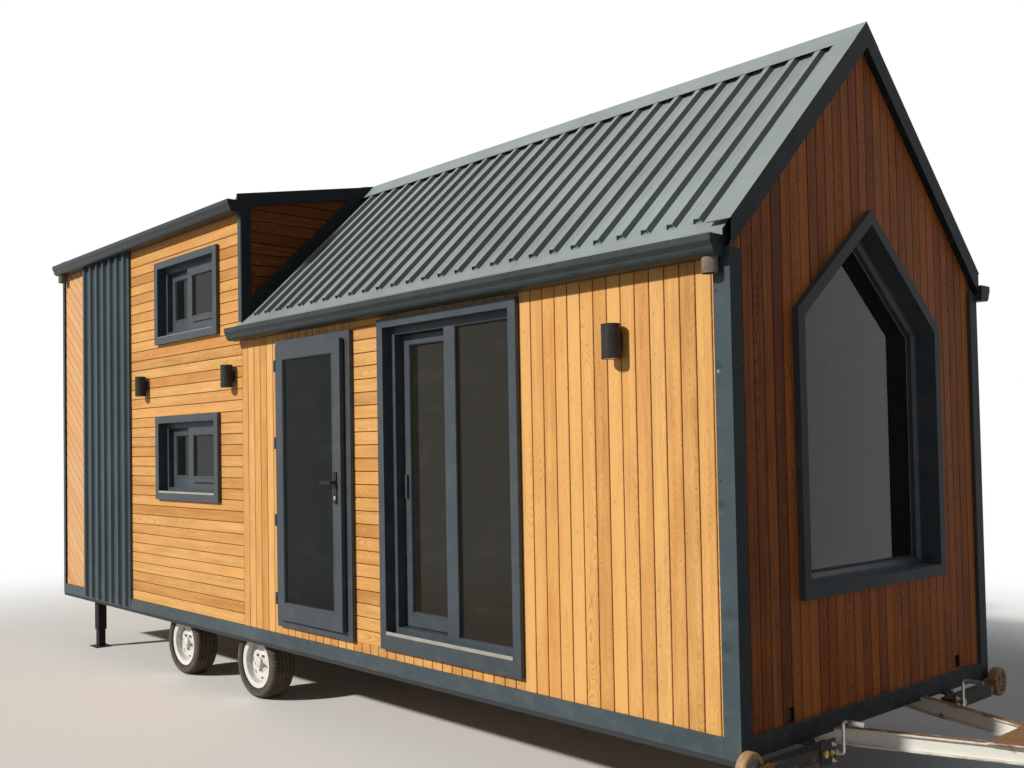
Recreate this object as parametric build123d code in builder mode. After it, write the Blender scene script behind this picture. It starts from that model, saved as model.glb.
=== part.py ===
from build123d import *
import os
from math import atan2, cos, radians, sin, tan

# Tiny house on a tandem-axle trailer, in millimetres.
# +X points to the drawbar end, +Y to the closed long side, +Z up.
# Z = 0 is the level ground under the tyres, legs and stand. X = 0 and Y = 0 are
# the middle of the whole outline, drawbar included.
# "Right" is the side with the doors (-Y), "left" the closed side (+Y).
# Stations are measured along X from the front face of the body, negative to the rear.

os.makedirs("parts", exist_ok=True)

# Overall sizes
body_length = 7350.0
body_width = 2500.0
drawbar_reach = 1300.0
ridge_height = 3915.0
roof_pitch = 42.5
dormer_pitch = 10.5
dormer_length = 3355.0

# Layers of the shell
trim_proud = 18.0
trim_sheet = 3.0
corner_sheet = 2.0
cladding_thickness = 22.0
wall_thickness = 110.0
cheek_thickness = 88.0
roof_rib_height = 25.0
pan_thickness = 2.0
deck_thickness = 62.0
floor_thickness = 83.0
loft_floor_thickness = 80.0
loft_floor_top = 2470.0

# Chassis and skirt
rail_bottom = 425.0
rail_height = 110.0
rail_width = 60.0
crossmember_height = 70.0
crossmember_width = 50.0
crossmember_stations = (-850.0, -1550.0, -2250.0, -2950.0, -3650.0, -4550.0, -5450.0, -6100.0, -6750.0)
inner_rail_offset = 800.0
skirt_height = 87.0
front_corner_side = 83.0
rear_corner_side = 40.0
dormer_corner_side = 38.0
corner_gable_width = 87.0

# Roof edges
verge_proud = 15.0
verge_band = 94.0
verge_flange = 100.0
fascia_thickness = 14.0
fascia_reach = 29.0
cheek_band = 90.0
cheek_post = 84.0
ridge_cap_reach = 120.0
flashing_reach = 50.0
flashing_overhang = 14.0
flashing_fold = 30.0
gutter_overlap = 55.0
gutter_width = 113.0
gutter_height = 90.0
gutter_sheet = 2.5
gutter_floor = 62.0
gutter_curve = 36.0
gutter_shoulder = 60.0
gutter_bead = 5.0
main_gutter_top = 2690.0
dormer_gutter_top = 3630.0
far_gutter_overrun = 30.0
outlet_radius = 35.0
outlet_wall = 4.0
outlet_drop = 70.0
outlet_setback = 54.0

# Ribbed sheeting
rib_pitch = 141.5
rib_base = 58.0
rib_top = 30.0
panel_rear = -6849.0
panel_front = -5861.0
panel_bottom = 470.0

# Wheels and axles
tyre_radius = 255.0
tyre_width = 195.0
rim_flange_radius = 182.0
rim_seat_radius = 150.0
rim_wall = 6.0
wheel_outer_face = 1165.0
wheel_disc_inset = 70.0
tread_groove = 7.0
lug_circle = 58.0
lug_nut_radius = 10.5
vent_slot_circle = 118.0
axle_stations = (-4000.0, -5100.0)
spindle_radius = 15.0
running_gap = 0.3
axle_tube = 80.0
axle_arm_reach = 170.0
drum_radius = 115.0

# Drawbar and what stands under it
beam_height = 80.0
beam_flange = 46.0
beam_web = 6.0
beam_flange_thickness = 8.0
beam_top = 465.0
beam_offset_at_front = 444.0
beam_apex = 1043.0
beam_tail = 840.0
nose_plate_thickness = 8.0
foot_thickness = 8.0

# Entrance door
entrance_left = -3527.0
entrance_right = -2680.0
entrance_top = 2551.0
entrance_frame_width = 62.0
entrance_leaf_margin = 55.0
entrance_leaf_bottom = 651.0
entrance_leaf_top = 2503.0
entrance_leaf_thickness = 33.0
entrance_stile = 88.0
entrance_bottom_rail = 115.0
entrance_top_rail = 90.0
door_gap = 5.0
rebate_gap = 13.0
rebate_depth = 25.0
hinge_radius = 8.0
hinge_heights = (792.0, 1323.0, 1849.0, 2376.0)
handle_height = 1590.0
handle_inset = 53.0
handle_plate_width = 30.0
handle_plate_up = 67.0
handle_plate_down = 135.0
lever_length = 110.0
door_sill_bottom = 596.0

# Patio door
patio_left = -2404.0
patio_right = -1250.0
patio_top = 2582.0
patio_face = 54.0
patio_bottom_face = 90.0
patio_frame_width = 42.0
patio_mullion_width = 91.0
patio_fixed_width = 434.0
patio_sash_width = 537.0
patio_stile = 60.0
patio_bottom_rail = 82.0
patio_sash_thickness = 40.0
patio_frame_recess = 64.0
patio_sash_recess = 124.0
patio_slide_gap = 5.7

# Small windows
window_left = -5356.0
window_right = -4334.0
window_height = 680.0
window_bottoms = (1412.0, 2689.0)
window_face = 56.0
window_frame = 42.0
window_stile = 60.0
window_mullion = 80.0
window_mullion_place = 440.0
window_fixed_stile = 18.0
window_bottom_rail = 94.0
window_top_rail = 64.0
window_frame_recess = 73.0
window_sash_recess = 114.0
window_sash_thickness = 30.0

# Front gable window
gable_window_width = 1450.0
gable_window_bottom = 1078.0
gable_window_shoulder = 2413.0
gable_window_apex = 2960.0
gable_window_face = 58.0
gable_window_frame = 45.0
gable_window_recess = 125.0

glass_thickness = 6.0
surround_proud = 12.0

# Corner jacks at the front
jack_pivot_offset = 720.0
jack_pivot_height = 405.0
jack_tube = 60.0
jack_reach = 380.0
jack_head = 110.0
jack_inner_tube = 45.0
jack_inner_reach = 60.0
jack_pin_radius = 10.0
jack_plate_thickness = 6.0
jack_wheel_radius = 80.0
jack_wheel_width = 45.0
jack_wheel_reach = 540.0
jack_wheel_rise = 25.0
jack_wheel_pin = 8.0
fork_plate = 5.0
crank_offset = 95.0
crank_drop = 9.0
crank_arm = 145.0
crank_rod = 7.0
crank_grip = 12.0

# Rear legs
leg_station = -6720.0
leg_offset = 1150.0
leg_tube = 80.0
leg_inner_tube = 64.0
leg_sleeve_bottom = 160.0
leg_foot = 150.0

# Wall lights
light_places = ((-5568.0, 2357.0), (-4143.0, 2352.0), (-609.0, 2285.0))
light_radius = 45.0
light_height = 165.0
light_wall = 4.0
light_recess = 6.0

# Vents low in the front gable boards
vent_size = 66.0
vent_places = ((-824.0, 578.0), (895.0, 584.0))

# Derived sizes
half_width = body_width / 2
front_x = (body_length + verge_proud - drawbar_reach) / 2
rear_x = front_x - body_length
dormer_x = rear_x + dormer_length
rail_top = rail_bottom + rail_height
rail_outer = half_width - trim_sheet
cross_bottom = rail_top - crossmember_height
floor_top = rail_top + floor_thickness
skirt_top = rail_top + 2.0
skirt_bottom = skirt_top - skirt_height
cladding_face = half_width - trim_proud
core_face = cladding_face - cladding_thickness
wall_inside = core_face - wall_thickness
pan_level = trim_sheet + roof_rib_height
deck_level = pan_level + pan_thickness
deck_underside = deck_level + deck_thickness
core_front = front_x - trim_proud - cladding_thickness
core_rear = rear_x + trim_proud + cladding_thickness
inside_front = core_front - wall_thickness
inside_rear = core_rear + wall_thickness
cheek_back = dormer_x - cladding_thickness - cheek_thickness
sheeting_end = half_width - flashing_reach
beam_bottom = beam_top - beam_height


def roof_z(y, drop, pitch=roof_pitch):
    """Height at distance y from the ridge, on the plane that lies drop below the roof surface."""
    return ridge_height - drop / cos(radians(pitch)) - abs(y) * tan(radians(pitch))


def along(station):
    """X of a station."""
    return front_x + station


def slab(x, y, z, mode=Mode.ADD):
    """Box between two corners, each range given as (from, to)."""
    with Locations(((x[0] + x[1]) / 2, (y[0] + y[1]) / 2, (z[0] + z[1]) / 2)):
        Box(abs(x[1] - x[0]), abs(y[1] - y[0]), abs(z[1] - z[0]), mode=mode)


def gable_slab(points, x, mode=Mode.ADD):
    """Upright plate across the house from (y, z) points, between two X values."""
    with BuildSketch(Plane.YZ.offset(min(x))) as outline:
        Polygon(*points, align=None)
    extrude(outline.sketch, amount=abs(x[1] - x[0]), dir=(1, 0, 0), mode=mode)


def side_slab(points, y, mode=Mode.ADD):
    """Upright plate along the house from (x, z) points, between two Y values."""
    with BuildSketch(Plane.XZ.offset(-max(y))) as outline:
        Polygon(*points, align=None)
    extrude(outline.sketch, amount=abs(y[1] - y[0]), dir=(0, -1, 0), mode=mode)


def vee(reach, upper, lower, pitch):
    """Inverted V between two drops below the roof surface, as (y, z) points."""
    return [
        (-reach, roof_z(reach, upper, pitch)),
        (0, roof_z(0, upper, pitch)),
        (reach, roof_z(reach, upper, pitch)),
        (reach, roof_z(reach, lower, pitch)),
        (0, roof_z(0, lower, pitch)),
        (-reach, roof_z(reach, lower, pitch)),
    ]


def finish(builder, name):
    """Label a piece and write it out."""
    builder.part.label = name
    export_step(builder.part, f"parts/{name}.step")


# Chassis: side rails, inner rails and crossmembers welded into one frame
front_rail_face = front_x - trim_sheet
rear_rail_face = rear_x + trim_sheet
rail_run = (rear_rail_face, front_rail_face)

with BuildPart() as chassis_frame:
    for side in (-1, 1):
        slab(rail_run, (side * rail_outer, side * (rail_outer - rail_width)), (rail_bottom, rail_top))
        inner = (side * (inner_rail_offset - rail_width / 2), side * (inner_rail_offset + rail_width / 2))
        slab(rail_run, inner, (cross_bottom, rail_top))
    for face, inward in ((front_rail_face, -1), (rear_rail_face, 1)):
        slab((face, face + inward * rail_width), (-rail_outer, rail_outer), (cross_bottom, rail_top))
    for station in crossmember_stations:
        span = (along(station) - crossmember_width / 2, along(station) + crossmember_width / 2)
        slab(span, (-rail_outer + 1, rail_outer - 1), (cross_bottom, rail_top))
finish(chassis_frame, "chassis_frame")

# Drawbar: two beams that converge from the inner rails to a plate at the nose
with BuildPart() as drawbar:
    for side in (-1, 1):
        nose = Vector(along(beam_apex - 60), side * beam_offset_at_front * 60 / beam_apex, beam_bottom)
        tail_offset = beam_offset_at_front * (beam_apex + beam_tail) / beam_apex
        tail = Vector(along(-beam_tail), side * tail_offset, beam_bottom)
        with BuildSketch(Plane(origin=tail, x_dir=(0, 0, 1), z_dir=nose - tail)):
            with Locations((beam_height / 2, 0)):
                Rectangle(beam_height, beam_web)
            for height in (beam_flange_thickness / 2, beam_height - beam_flange_thickness / 2):
                with Locations((height, 0)):
                    Rectangle(beam_flange_thickness, beam_flange)
        extrude(amount=(nose - tail).length)
    with BuildSketch(Plane.XY.offset(beam_top)):
        Polygon(
            (along(beam_apex - 30), -75),
            (along(beam_apex - 30), 75),
            (along(beam_apex - 480), 245),
            (along(beam_apex - 480), -245),
            align=None,
        )
    extrude(amount=nose_plate_thickness)
finish(drawbar, "drawbar")

# Coupling head on the nose plate
coupling_base = beam_top + nose_plate_thickness
coupling_front = along(drawbar_reach)
coupling_ball = 25.0
with BuildPart() as coupling_head:
    slab((along(beam_apex - 150), coupling_front - 50), (-40, 40), (coupling_base, coupling_base + 60))
    with BuildSketch(Plane.XY.offset(coupling_base)):
        with Locations((coupling_front - 50, 0)):
            Circle(50)
    extrude(amount=60)
    with Locations((coupling_front - 50, 0, coupling_base + 18)):
        Sphere(coupling_ball + 0.5, mode=Mode.SUBTRACT)
    with BuildSketch(Plane.XY.offset(coupling_base)):
        with Locations((coupling_front - 50, 0)):
            Circle(coupling_ball + 0.5)
    extrude(amount=18, mode=Mode.SUBTRACT)
    chamfer(coupling_head.faces().sort_by(Axis.Z)[-1].edges(), length=8)
    with BuildSketch(Plane.XZ.offset(12)):
        Polygon(
            (along(beam_apex - 20), coupling_base + 55),
            (along(beam_apex + 20), coupling_base + 78),
            (along(beam_apex + 150), coupling_base + 96),
            (along(beam_apex + 150), coupling_base + 84),
            (along(beam_apex + 50), coupling_base + 58),
            align=None,
        )
    extrude(amount=-24)
finish(coupling_head, "coupling_head")

# Stand under the nose plate
nose_stand_x = along(beam_apex - 330)
with BuildPart() as nose_stand:
    with BuildSketch():
        with Locations((nose_stand_x, 0)):
            Circle(80)
    extrude(amount=foot_thickness)
    with BuildSketch(Plane.XY.offset(foot_thickness)):
        with Locations((nose_stand_x, 0)):
            Circle(30)
    extrude(amount=beam_top - foot_thickness)
finish(nose_stand, "nose_stand")

# Axles: torsion tube, trailing arms, brake drums and spindles
wheel_height = tyre_radius
hub_end = wheel_outer_face - 60.0
arm_face = wheel_outer_face - tyre_width - 12.0
arm_plate = 20.0

with BuildPart() as axles:
    for station in axle_stations:
        axle_x = along(station)
        tube_x = axle_x + axle_arm_reach
        tube = (tube_x - axle_tube / 2, tube_x + axle_tube / 2)
        slab(tube, (-arm_face + 1, arm_face - 1), (cross_bottom - axle_tube, cross_bottom))
        for side in (-1, 1):
            arm = [
                (axle_x - 30, wheel_height - 30),
                (axle_x + 30, wheel_height - 30),
                (tube_x + 40, cross_bottom - axle_tube),
                (tube_x + 40, cross_bottom),
                (tube_x - 40, cross_bottom),
                (axle_x - 30, wheel_height + 30),
            ]
            side_slab(arm, (side * (arm_face - arm_plate), side * arm_face))
            spindle_plane = Plane(origin=(axle_x, side * (arm_face - 1), wheel_height), z_dir=(0, side, 0))
            with BuildSketch(spindle_plane):
                Circle(drum_radius)
            extrude(amount=80)
            with BuildSketch(spindle_plane):
                Circle(spindle_radius)
            extrude(amount=hub_end - arm_face + 1)
finish(axles, "axles")

# Wheels: steel rim with its hub, and a tyre on it
face = wheel_outer_face
disc = wheel_outer_face - wheel_disc_inset
bore = spindle_radius + running_gap
rim_inner_radius = rim_seat_radius - rim_wall
rim_profile = [
    (disc - 40, bore),
    (disc - 40, 55),
    (disc - 4, 55),
    (disc - 4, rim_inner_radius),
    (face - 168, rim_inner_radius),
    (face - 172, rim_flange_radius),
    (face - 166, rim_flange_radius),
    (face - 162, rim_seat_radius),
    (face - 28, rim_seat_radius),
    (face - 24, rim_flange_radius),
    (face - 18, rim_flange_radius),
    (face - 22, rim_inner_radius),
    (disc + 2, rim_inner_radius),
    (disc + 2, 75),
    (disc + 12, 45),
    (disc + 15, 35),
    (disc + 36, 34),
    (disc + 40, 29),
    (disc + 40, 0),
    (hub_end + 1, 0),
    (hub_end + 1, bore),
]
groove_points = []
for groove in (50, 80, 115, 145):
    groove_points += [
        (face - groove + 4, tyre_radius),
        (face - groove + 3, tyre_radius - tread_groove),
        (face - groove - 3, tyre_radius - tread_groove),
        (face - groove - 4, tyre_radius),
    ]
tyre_profile = [
    (face - 161.4, rim_seat_radius + 0.5),
    (face - 28.6, rim_seat_radius + 0.5),
    (face - 24.6, rim_flange_radius + 0.6),
    (face - 8, rim_flange_radius + 4),
    (face, tyre_radius - 40),
    (face - 10, tyre_radius - 13),
    (face - 25, tyre_radius),
    *groove_points,
    (face - tyre_width + 25, tyre_radius),
    (face - tyre_width + 10, tyre_radius - 13),
    (face - tyre_width, tyre_radius - 40),
    (face - tyre_width + 12, rim_flange_radius + 4),
    (face - 165.4, rim_flange_radius + 0.6),
]

for side, side_name in ((-1, "right"), (1, "left")):
    for station, row in zip(axle_stations, ("front", "rear")):
        hub_centre = (along(station), 0, wheel_height)
        half_section = Plane(origin=hub_centre, x_dir=(0, side, 0), z_dir=(side, 0, 0))
        with BuildPart() as rim:
            with BuildSketch(half_section):
                Polygon(*rim_profile, align=None)
            revolve(axis=Axis(hub_centre, (0, 1, 0)))
            disc_plane = Plane(origin=(along(station), side * (disc - 5), wheel_height), z_dir=(0, side, 0))
            with BuildSketch(disc_plane):
                with PolarLocations(vent_slot_circle, 8):
                    RectangleRounded(12, 34, 5)
            extrude(amount=8, mode=Mode.SUBTRACT)
            with BuildSketch(disc_plane):
                with PolarLocations(lug_circle, 5):
                    RegularPolygon(lug_nut_radius, 6)
            extrude(amount=28)
        finish(rim, f"{side_name}_{row}_rim")
        with BuildPart() as tyre:
            with BuildSketch(half_section):
                Polygon(*tyre_profile, align=None)
            revolve(axis=Axis(hub_centre, (0, 1, 0)))
        finish(tyre, f"{side_name}_{row}_tyre")

# Rear legs
with BuildPart() as rear_legs:
    for side in (-1, 1):
        for size, top, low in (
            (leg_tube, rail_bottom, leg_sleeve_bottom),
            (leg_inner_tube, leg_sleeve_bottom, foot_thickness),
            (leg_foot, foot_thickness, 0),
        ):
            with BuildSketch(Plane.XY.offset(low)):
                with Locations((along(leg_station), side * leg_offset)):
                    Rectangle(size, size)
            extrude(amount=top - low)
finish(rear_legs, "rear_legs")

# Brackets that carry the corner jacks, on the front rail
bracket_face = front_x + 11.7
jack_x = front_x + 12.0 + jack_tube / 2
jack_face = jack_x + jack_tube / 2
plate_face = jack_face + jack_plate_thickness
with BuildPart() as jack_brackets:
    for side in (-1, 1):
        width = (side * (jack_pivot_offset - 45), side * (jack_pivot_offset + 45))
        slab((front_rail_face - rail_width, bracket_face), width, (skirt_bottom - 12, skirt_bottom - 2))
        slab((bracket_face - 8, bracket_face), width, (jack_pivot_height - 45, skirt_bottom - 2))
        slab((front_rail_face - rail_width, front_rail_face), width, (skirt_bottom - 12, cross_bottom))
        pin_start = (bracket_face - 1, side * jack_pivot_offset, jack_pivot_height)
        pin_plane = Plane(origin=pin_start, z_dir=(1, 0, 0))
        with BuildSketch(pin_plane):
            Circle(jack_pin_radius)
        extrude(amount=plate_face - bracket_face + 13)
        with BuildSketch(pin_plane.offset(plate_face - bracket_face + 1 + running_gap)):
            RegularPolygon(jack_pin_radius + 8, 6)
        extrude(amount=12)
finish(jack_brackets, "jack_brackets")

# Corner jacks, swung up flat under the gable: tube, inner tube, fork and wheel, and their cranks
jack_end = jack_pivot_offset + jack_reach
inner_end = jack_end + jack_inner_reach
head_end = jack_pivot_offset - jack_head
jack_wheel_y = jack_pivot_offset + jack_wheel_reach
jack_wheel_z = jack_pivot_height + jack_wheel_rise
fork_half = jack_wheel_width / 2 + door_gap

for side, side_name in ((-1, "right"), (1, "left")):
    with BuildPart() as corner_jack:
        half_tube = jack_tube / 2
        half_inner = jack_inner_tube / 2
        tube_height = (jack_pivot_height - half_tube, jack_pivot_height + half_tube)
        inner_height = (jack_pivot_height - half_inner, jack_pivot_height + half_inner)
        slab((jack_x - half_tube, jack_face), (side * head_end, side * jack_end), tube_height)
        inner_width = (jack_x - half_inner, jack_x + half_inner)
        slab(inner_width, (side * (jack_end - 1), side * inner_end), inner_height)
        slab(
            (jack_face, plate_face),
            (side * (head_end + 10), side * (jack_pivot_offset + 30)),
            (jack_pivot_height - 55, jack_pivot_height + 55),
        )
        slab(
            (jack_x - fork_half - fork_plate, jack_x + fork_half + fork_plate),
            (side * inner_end, side * (inner_end + fork_plate)),
            (jack_pivot_height - half_inner, jack_wheel_z + half_inner),
        )
        fork_outline = [
            (side * inner_end, jack_pivot_height - half_inner),
            (side * (jack_wheel_y + 18), jack_wheel_z - 16),
            (side * (jack_wheel_y + 18), jack_wheel_z + 16),
            (side * inner_end, jack_wheel_z + half_inner),
        ]
        for near in (jack_x - fork_half - fork_plate, jack_x + fork_half):
            gable_slab(fork_outline, (near, near + fork_plate))
        wheel_plane = Plane(origin=(jack_x, side * jack_wheel_y, jack_wheel_z), z_dir=(1, 0, 0))
        with BuildSketch(wheel_plane.offset(-fork_half - fork_plate - 6)):
            Circle(jack_wheel_pin)
        extrude(amount=2 * (fork_half + fork_plate + 6))
        pivot_plane = Plane(origin=(front_x, side * jack_pivot_offset, jack_pivot_height), z_dir=(1, 0, 0))
        with BuildSketch(pivot_plane):
            Circle(jack_pin_radius + running_gap)
        extrude(amount=plate_face - front_x + 1, mode=Mode.SUBTRACT)
    finish(corner_jack, f"{side_name}_corner_jack")
    with BuildPart() as jack_wheel:
        wheel_centre = (jack_x, side * jack_wheel_y, jack_wheel_z)
        with BuildSketch(Plane(origin=wheel_centre, x_dir=(0, side, 0), z_dir=(0, 0, 1))):
            half_wheel = jack_wheel_width / 2
            bore_radius = jack_wheel_pin + running_gap
            Polygon(
                (bore_radius, -half_wheel),
                (30, -half_wheel),
                (33, -half_wheel + 12),
                (52, -half_wheel + 12),
                (55, -half_wheel),
                (jack_wheel_radius - 6, -half_wheel),
                (jack_wheel_radius, -half_wheel + 7),
                (jack_wheel_radius, half_wheel - 7),
                (jack_wheel_radius - 6, half_wheel),
                (55, half_wheel),
                (52, half_wheel - 12),
                (33, half_wheel - 12),
                (30, half_wheel),
                (bore_radius, half_wheel),
                align=None,
            )
        revolve(axis=Axis(wheel_centre, (1, 0, 0)))
    finish(jack_wheel, f"{side_name}_jack_wheel")
    with BuildPart() as jack_crank:
        crank_height = jack_pivot_height - crank_drop
        crank_y = side * (jack_pivot_offset - crank_offset)
        crank_start = Vector(plate_face + running_gap, crank_y, crank_height)
        elbow = crank_start + Vector(40, 0, 0)
        knee = elbow + Vector(0, 0, crank_arm)
        tip = knee + Vector(25, 0, 0)
        with BuildLine():
            FilletPolyline(crank_start, elbow, knee, tip, radius=12)
        with BuildSketch(Plane(origin=crank_start, z_dir=(1, 0, 0))):
            Circle(crank_rod)
        sweep()
        with BuildSketch(Plane(origin=crank_start, z_dir=(1, 0, 0))):
            Circle(crank_rod + 5)
        extrude(amount=12)
        with BuildSketch(Plane(origin=tip, z_dir=(1, 0, 0))):
            Circle(crank_grip)
        extrude(amount=75)
    finish(jack_crank, f"{side_name}_jack_crank")

# Floors
with BuildPart() as floor:
    slab((core_rear, core_front), (-core_face, core_face), (rail_top, floor_top))
finish(floor, "floor")

with BuildPart() as loft_floor:
    loft = (loft_floor_top - loft_floor_thickness, loft_floor_top)
    slab((inside_rear, dormer_x), (-wall_inside, wall_inside), loft)
finish(loft_floor, "loft_floor")


def wall_run(x, side, bottom, pitch):
    """Length of side wall between two X values, its top bevelled to the roof deck."""
    section = [
        (side * core_face, bottom),
        (side * core_face, roof_z(core_face, deck_underside, pitch)),
        (side * wall_inside, roof_z(wall_inside, deck_underside, pitch)),
        (side * wall_inside, bottom),
    ]
    gable_slab(section, x)


# Long walls: both change height at the dormer, and the right one is split beside and over its doors
wall_joint = 0.6
with BuildPart() as right_wall:
    wall_run((inside_rear, cheek_back - wall_joint), -1, floor_top, dormer_pitch)
    wall_run((cheek_back, along(entrance_left)), -1, floor_top, roof_pitch)
    wall_run((along(entrance_right), along(patio_left)), -1, floor_top, roof_pitch)
    wall_run((along(patio_right), inside_front), -1, floor_top, roof_pitch)
    for bottom in window_bottoms:
        hole = (along(window_left), along(window_right))
        slab(hole, (-core_face - 1, -wall_inside + 1), (bottom, bottom + window_height), mode=Mode.SUBTRACT)
finish(right_wall, "right_wall")

with BuildPart() as right_wall_over_doors:
    wall_run((along(entrance_left), along(entrance_right)), -1, entrance_top, roof_pitch)
    wall_run((along(patio_left), along(patio_right)), -1, patio_top, roof_pitch)
finish(right_wall_over_doors, "right_wall_over_doors")

with BuildPart() as left_wall:
    wall_run((inside_rear, cheek_back - wall_joint), 1, floor_top, dormer_pitch)
    wall_run((cheek_back, inside_front), 1, floor_top, roof_pitch)
finish(left_wall, "left_wall")


def gable_outline(half, bottom, pitch):
    """House-shaped outline under a roof deck, as (y, z) points."""
    return [
        (-half, bottom),
        (-half, roof_z(half, deck_underside, pitch)),
        (0, roof_z(0, deck_underside, pitch)),
        (half, roof_z(half, deck_underside, pitch)),
        (half, bottom),
    ]


def window_outline(inset):
    """Outline of the gable window moved in by inset, as (y, z) points."""
    half = gable_window_width / 2
    slope = atan2(gable_window_apex - gable_window_shoulder, half)
    apex = gable_window_apex - inset / cos(slope)
    shoulder = apex - (half - inset) * tan(slope)
    sill = gable_window_bottom + inset
    edge = half - inset
    return [(-edge, sill), (-edge, shoulder), (0, apex), (edge, shoulder), (edge, sill)]


# Gable walls
with BuildPart() as front_gable_wall:
    gable_slab(gable_outline(core_face, floor_top, roof_pitch), (inside_front, core_front))
    gable_slab(window_outline(0), (inside_front - 1, core_front + 1), mode=Mode.SUBTRACT)
finish(front_gable_wall, "front_gable_wall")

with BuildPart() as rear_gable_wall:
    gable_slab(gable_outline(core_face, floor_top, dormer_pitch), (core_rear, inside_rear))
finish(rear_gable_wall, "rear_gable_wall")

# Distance from the ridge at which the dormer deck leaves the main deck
pitch_gap = tan(radians(roof_pitch)) - tan(radians(dormer_pitch))
deck_meet = (deck_underside / cos(radians(dormer_pitch)) - deck_level / cos(radians(roof_pitch))) / pitch_gap


def cheek_outline(side, half):
    """Triangle between the main deck and the dormer deck, as (y, z) points."""
    return [
        (side * deck_meet, roof_z(deck_meet, deck_level)),
        (side * half, roof_z(half, deck_level)),
        (side * half, roof_z(half, deck_underside, dormer_pitch)),
    ]


with BuildPart() as dormer_cheeks:
    for side in (-1, 1):
        gable_slab(cheek_outline(side, core_face), (cheek_back, dormer_x - cladding_thickness))
finish(dormer_cheeks, "dormer_cheeks")


def deck(side, x, start, end, pitch):
    """Roof deck on one slope, between two distances off the ridge."""
    section = [
        (side * start, roof_z(start, deck_level, pitch)),
        (side * end, roof_z(end, deck_level, pitch)),
        (side * end, roof_z(end, deck_underside, pitch)),
        (side * start, roof_z(start, deck_underside, pitch)),
    ]
    gable_slab(section, x)


# Roof decks: the dormer deck runs on over the cheek
deck_joint = 1.0
with BuildPart() as roof_decks:
    for side in (-1, 1):
        deck(side, (cheek_back, dormer_x), 0.5, core_face, roof_pitch)
        deck(side, (dormer_x, front_x - trim_proud), 0.5, half_width, roof_pitch)
        deck(side, (rear_x + trim_proud, cheek_back - deck_joint), 0.5, half_width, dormer_pitch)
        deck(side, (cheek_back - deck_joint, dormer_x), deck_meet + 12, half_width, dormer_pitch)
finish(roof_decks, "roof_decks")


def rib_outline(top, inset):
    """Trapezoid of one rib on its pan, moved in by a sheet thickness for the hollow, as sketch points."""
    base = rib_base / 2 - 2 * inset
    crown = rib_top / 2 - inset
    return [(-base, 0), (-crown, top), (crown, top), (base, 0)]


def sheeting(x, side, pitch, first_rib, ribs):
    """Ribbed sheet on one slope between two X values, its ribs running down the slope."""
    start = 8.0
    down = Vector(0, side * cos(radians(pitch)), -sin(radians(pitch)))
    plane = Plane(origin=(0, side * start, roof_z(start, deck_level, pitch)), x_dir=(1, 0, 0), z_dir=down)
    up = -side
    with BuildSketch(plane) as profile:
        with Locations(((x[0] + x[1]) / 2, up * pan_thickness / 2)):
            Rectangle(x[1] - x[0], pan_thickness)
        places = [(first_rib - rib_pitch * count, 0) for count in range(ribs)]
        top = up * (roof_rib_height + pan_thickness)
        with Locations(*places):
            Polygon(*rib_outline(top, 0), align=None)
        with Locations(*places):
            Polygon(*rib_outline(up * roof_rib_height, pan_thickness), align=None, mode=Mode.SUBTRACT)
    extrude(profile.sketch, amount=(sheeting_end - start) / cos(radians(pitch)), dir=down)


# Ribbed steel sheets on the roof
with BuildPart() as roof_sheeting:
    for side in (-1, 1):
        sheeting((dormer_x + 1, front_x - trim_proud - 1), side, roof_pitch, along(-181), 27)
        sheeting((rear_x + trim_proud + 1, dormer_x - 1), side, dormer_pitch, dormer_x - 120, 23)
finish(roof_sheeting, "roof_sheeting")


def eave_strip(x, side, pitch, start, end):
    """Flat strip on the deck between two distances off the ridge."""
    section = [
        (side * start, roof_z(start, pan_level, pitch)),
        (side * end, roof_z(end, pan_level, pitch)),
        (side * end, roof_z(end, deck_level, pitch)),
        (side * start, roof_z(start, deck_level, pitch)),
    ]
    gable_slab(section, x)


# Eave flashings: from the end of the sheeting over the edge of the deck, folded down into the gutter
eave_edge = half_width + flashing_overhang
cap_clear = 1 + gutter_sheet + running_gap
with BuildPart() as eave_flashings:
    for side in (-1, 1):
        for near, far, pitch in (
            (dormer_x + fascia_thickness + 2, front_x - trim_proud - cap_clear, roof_pitch),
            (rear_x + trim_proud + cap_clear, dormer_x - 1, dormer_pitch),
        ):
            sheet_edge = sheeting_end + pan_thickness * sin(radians(pitch))
            eave_strip((near, far), side, pitch, sheet_edge + running_gap, eave_edge)
            edge_z = roof_z(eave_edge, pan_level, pitch)
            folded = (side * (eave_edge - pan_thickness), side * eave_edge)
            slab((near, far), folded, (edge_z - flashing_fold, edge_z))
        corner_run = (dormer_x - gutter_overlap + 5, dormer_x + fascia_thickness + 3)
        eave_strip(corner_run, side, roof_pitch, half_width + running_gap, eave_edge)
        edge_z = roof_z(eave_edge, pan_level)
        folded = (side * (eave_edge - pan_thickness), side * eave_edge)
        slab(corner_run, folded, (edge_z - flashing_fold, edge_z))
finish(eave_flashings, "eave_flashings")

# Ridge cap over each pitch
with BuildPart() as ridge_cap:
    gable_slab(vee(ridge_cap_reach, -trim_sheet, 0, roof_pitch), (dormer_x + 16, front_x + verge_proud))
    gable_slab(vee(ridge_cap_reach, -trim_sheet, 0, dormer_pitch), (rear_x - verge_proud, dormer_x + 15))
finish(ridge_cap, "ridge_cap")


def verge(x_face, inward, pitch):
    """Folded trim over the end of a roof: face band, return under it and flange on the roof."""
    returned = verge_band - trim_sheet
    return_end = x_face + inward * (verge_proud + trim_proud)
    flange_end = x_face + inward * (verge_proud + verge_flange)
    gable_slab(vee(half_width, 0, verge_band, pitch), (x_face, x_face + inward * trim_sheet))
    gable_slab(vee(half_width, returned, verge_band, pitch), (x_face, return_end))
    gable_slab(vee(half_width + 12, 0, trim_sheet, pitch), (x_face, flange_end))


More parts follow.
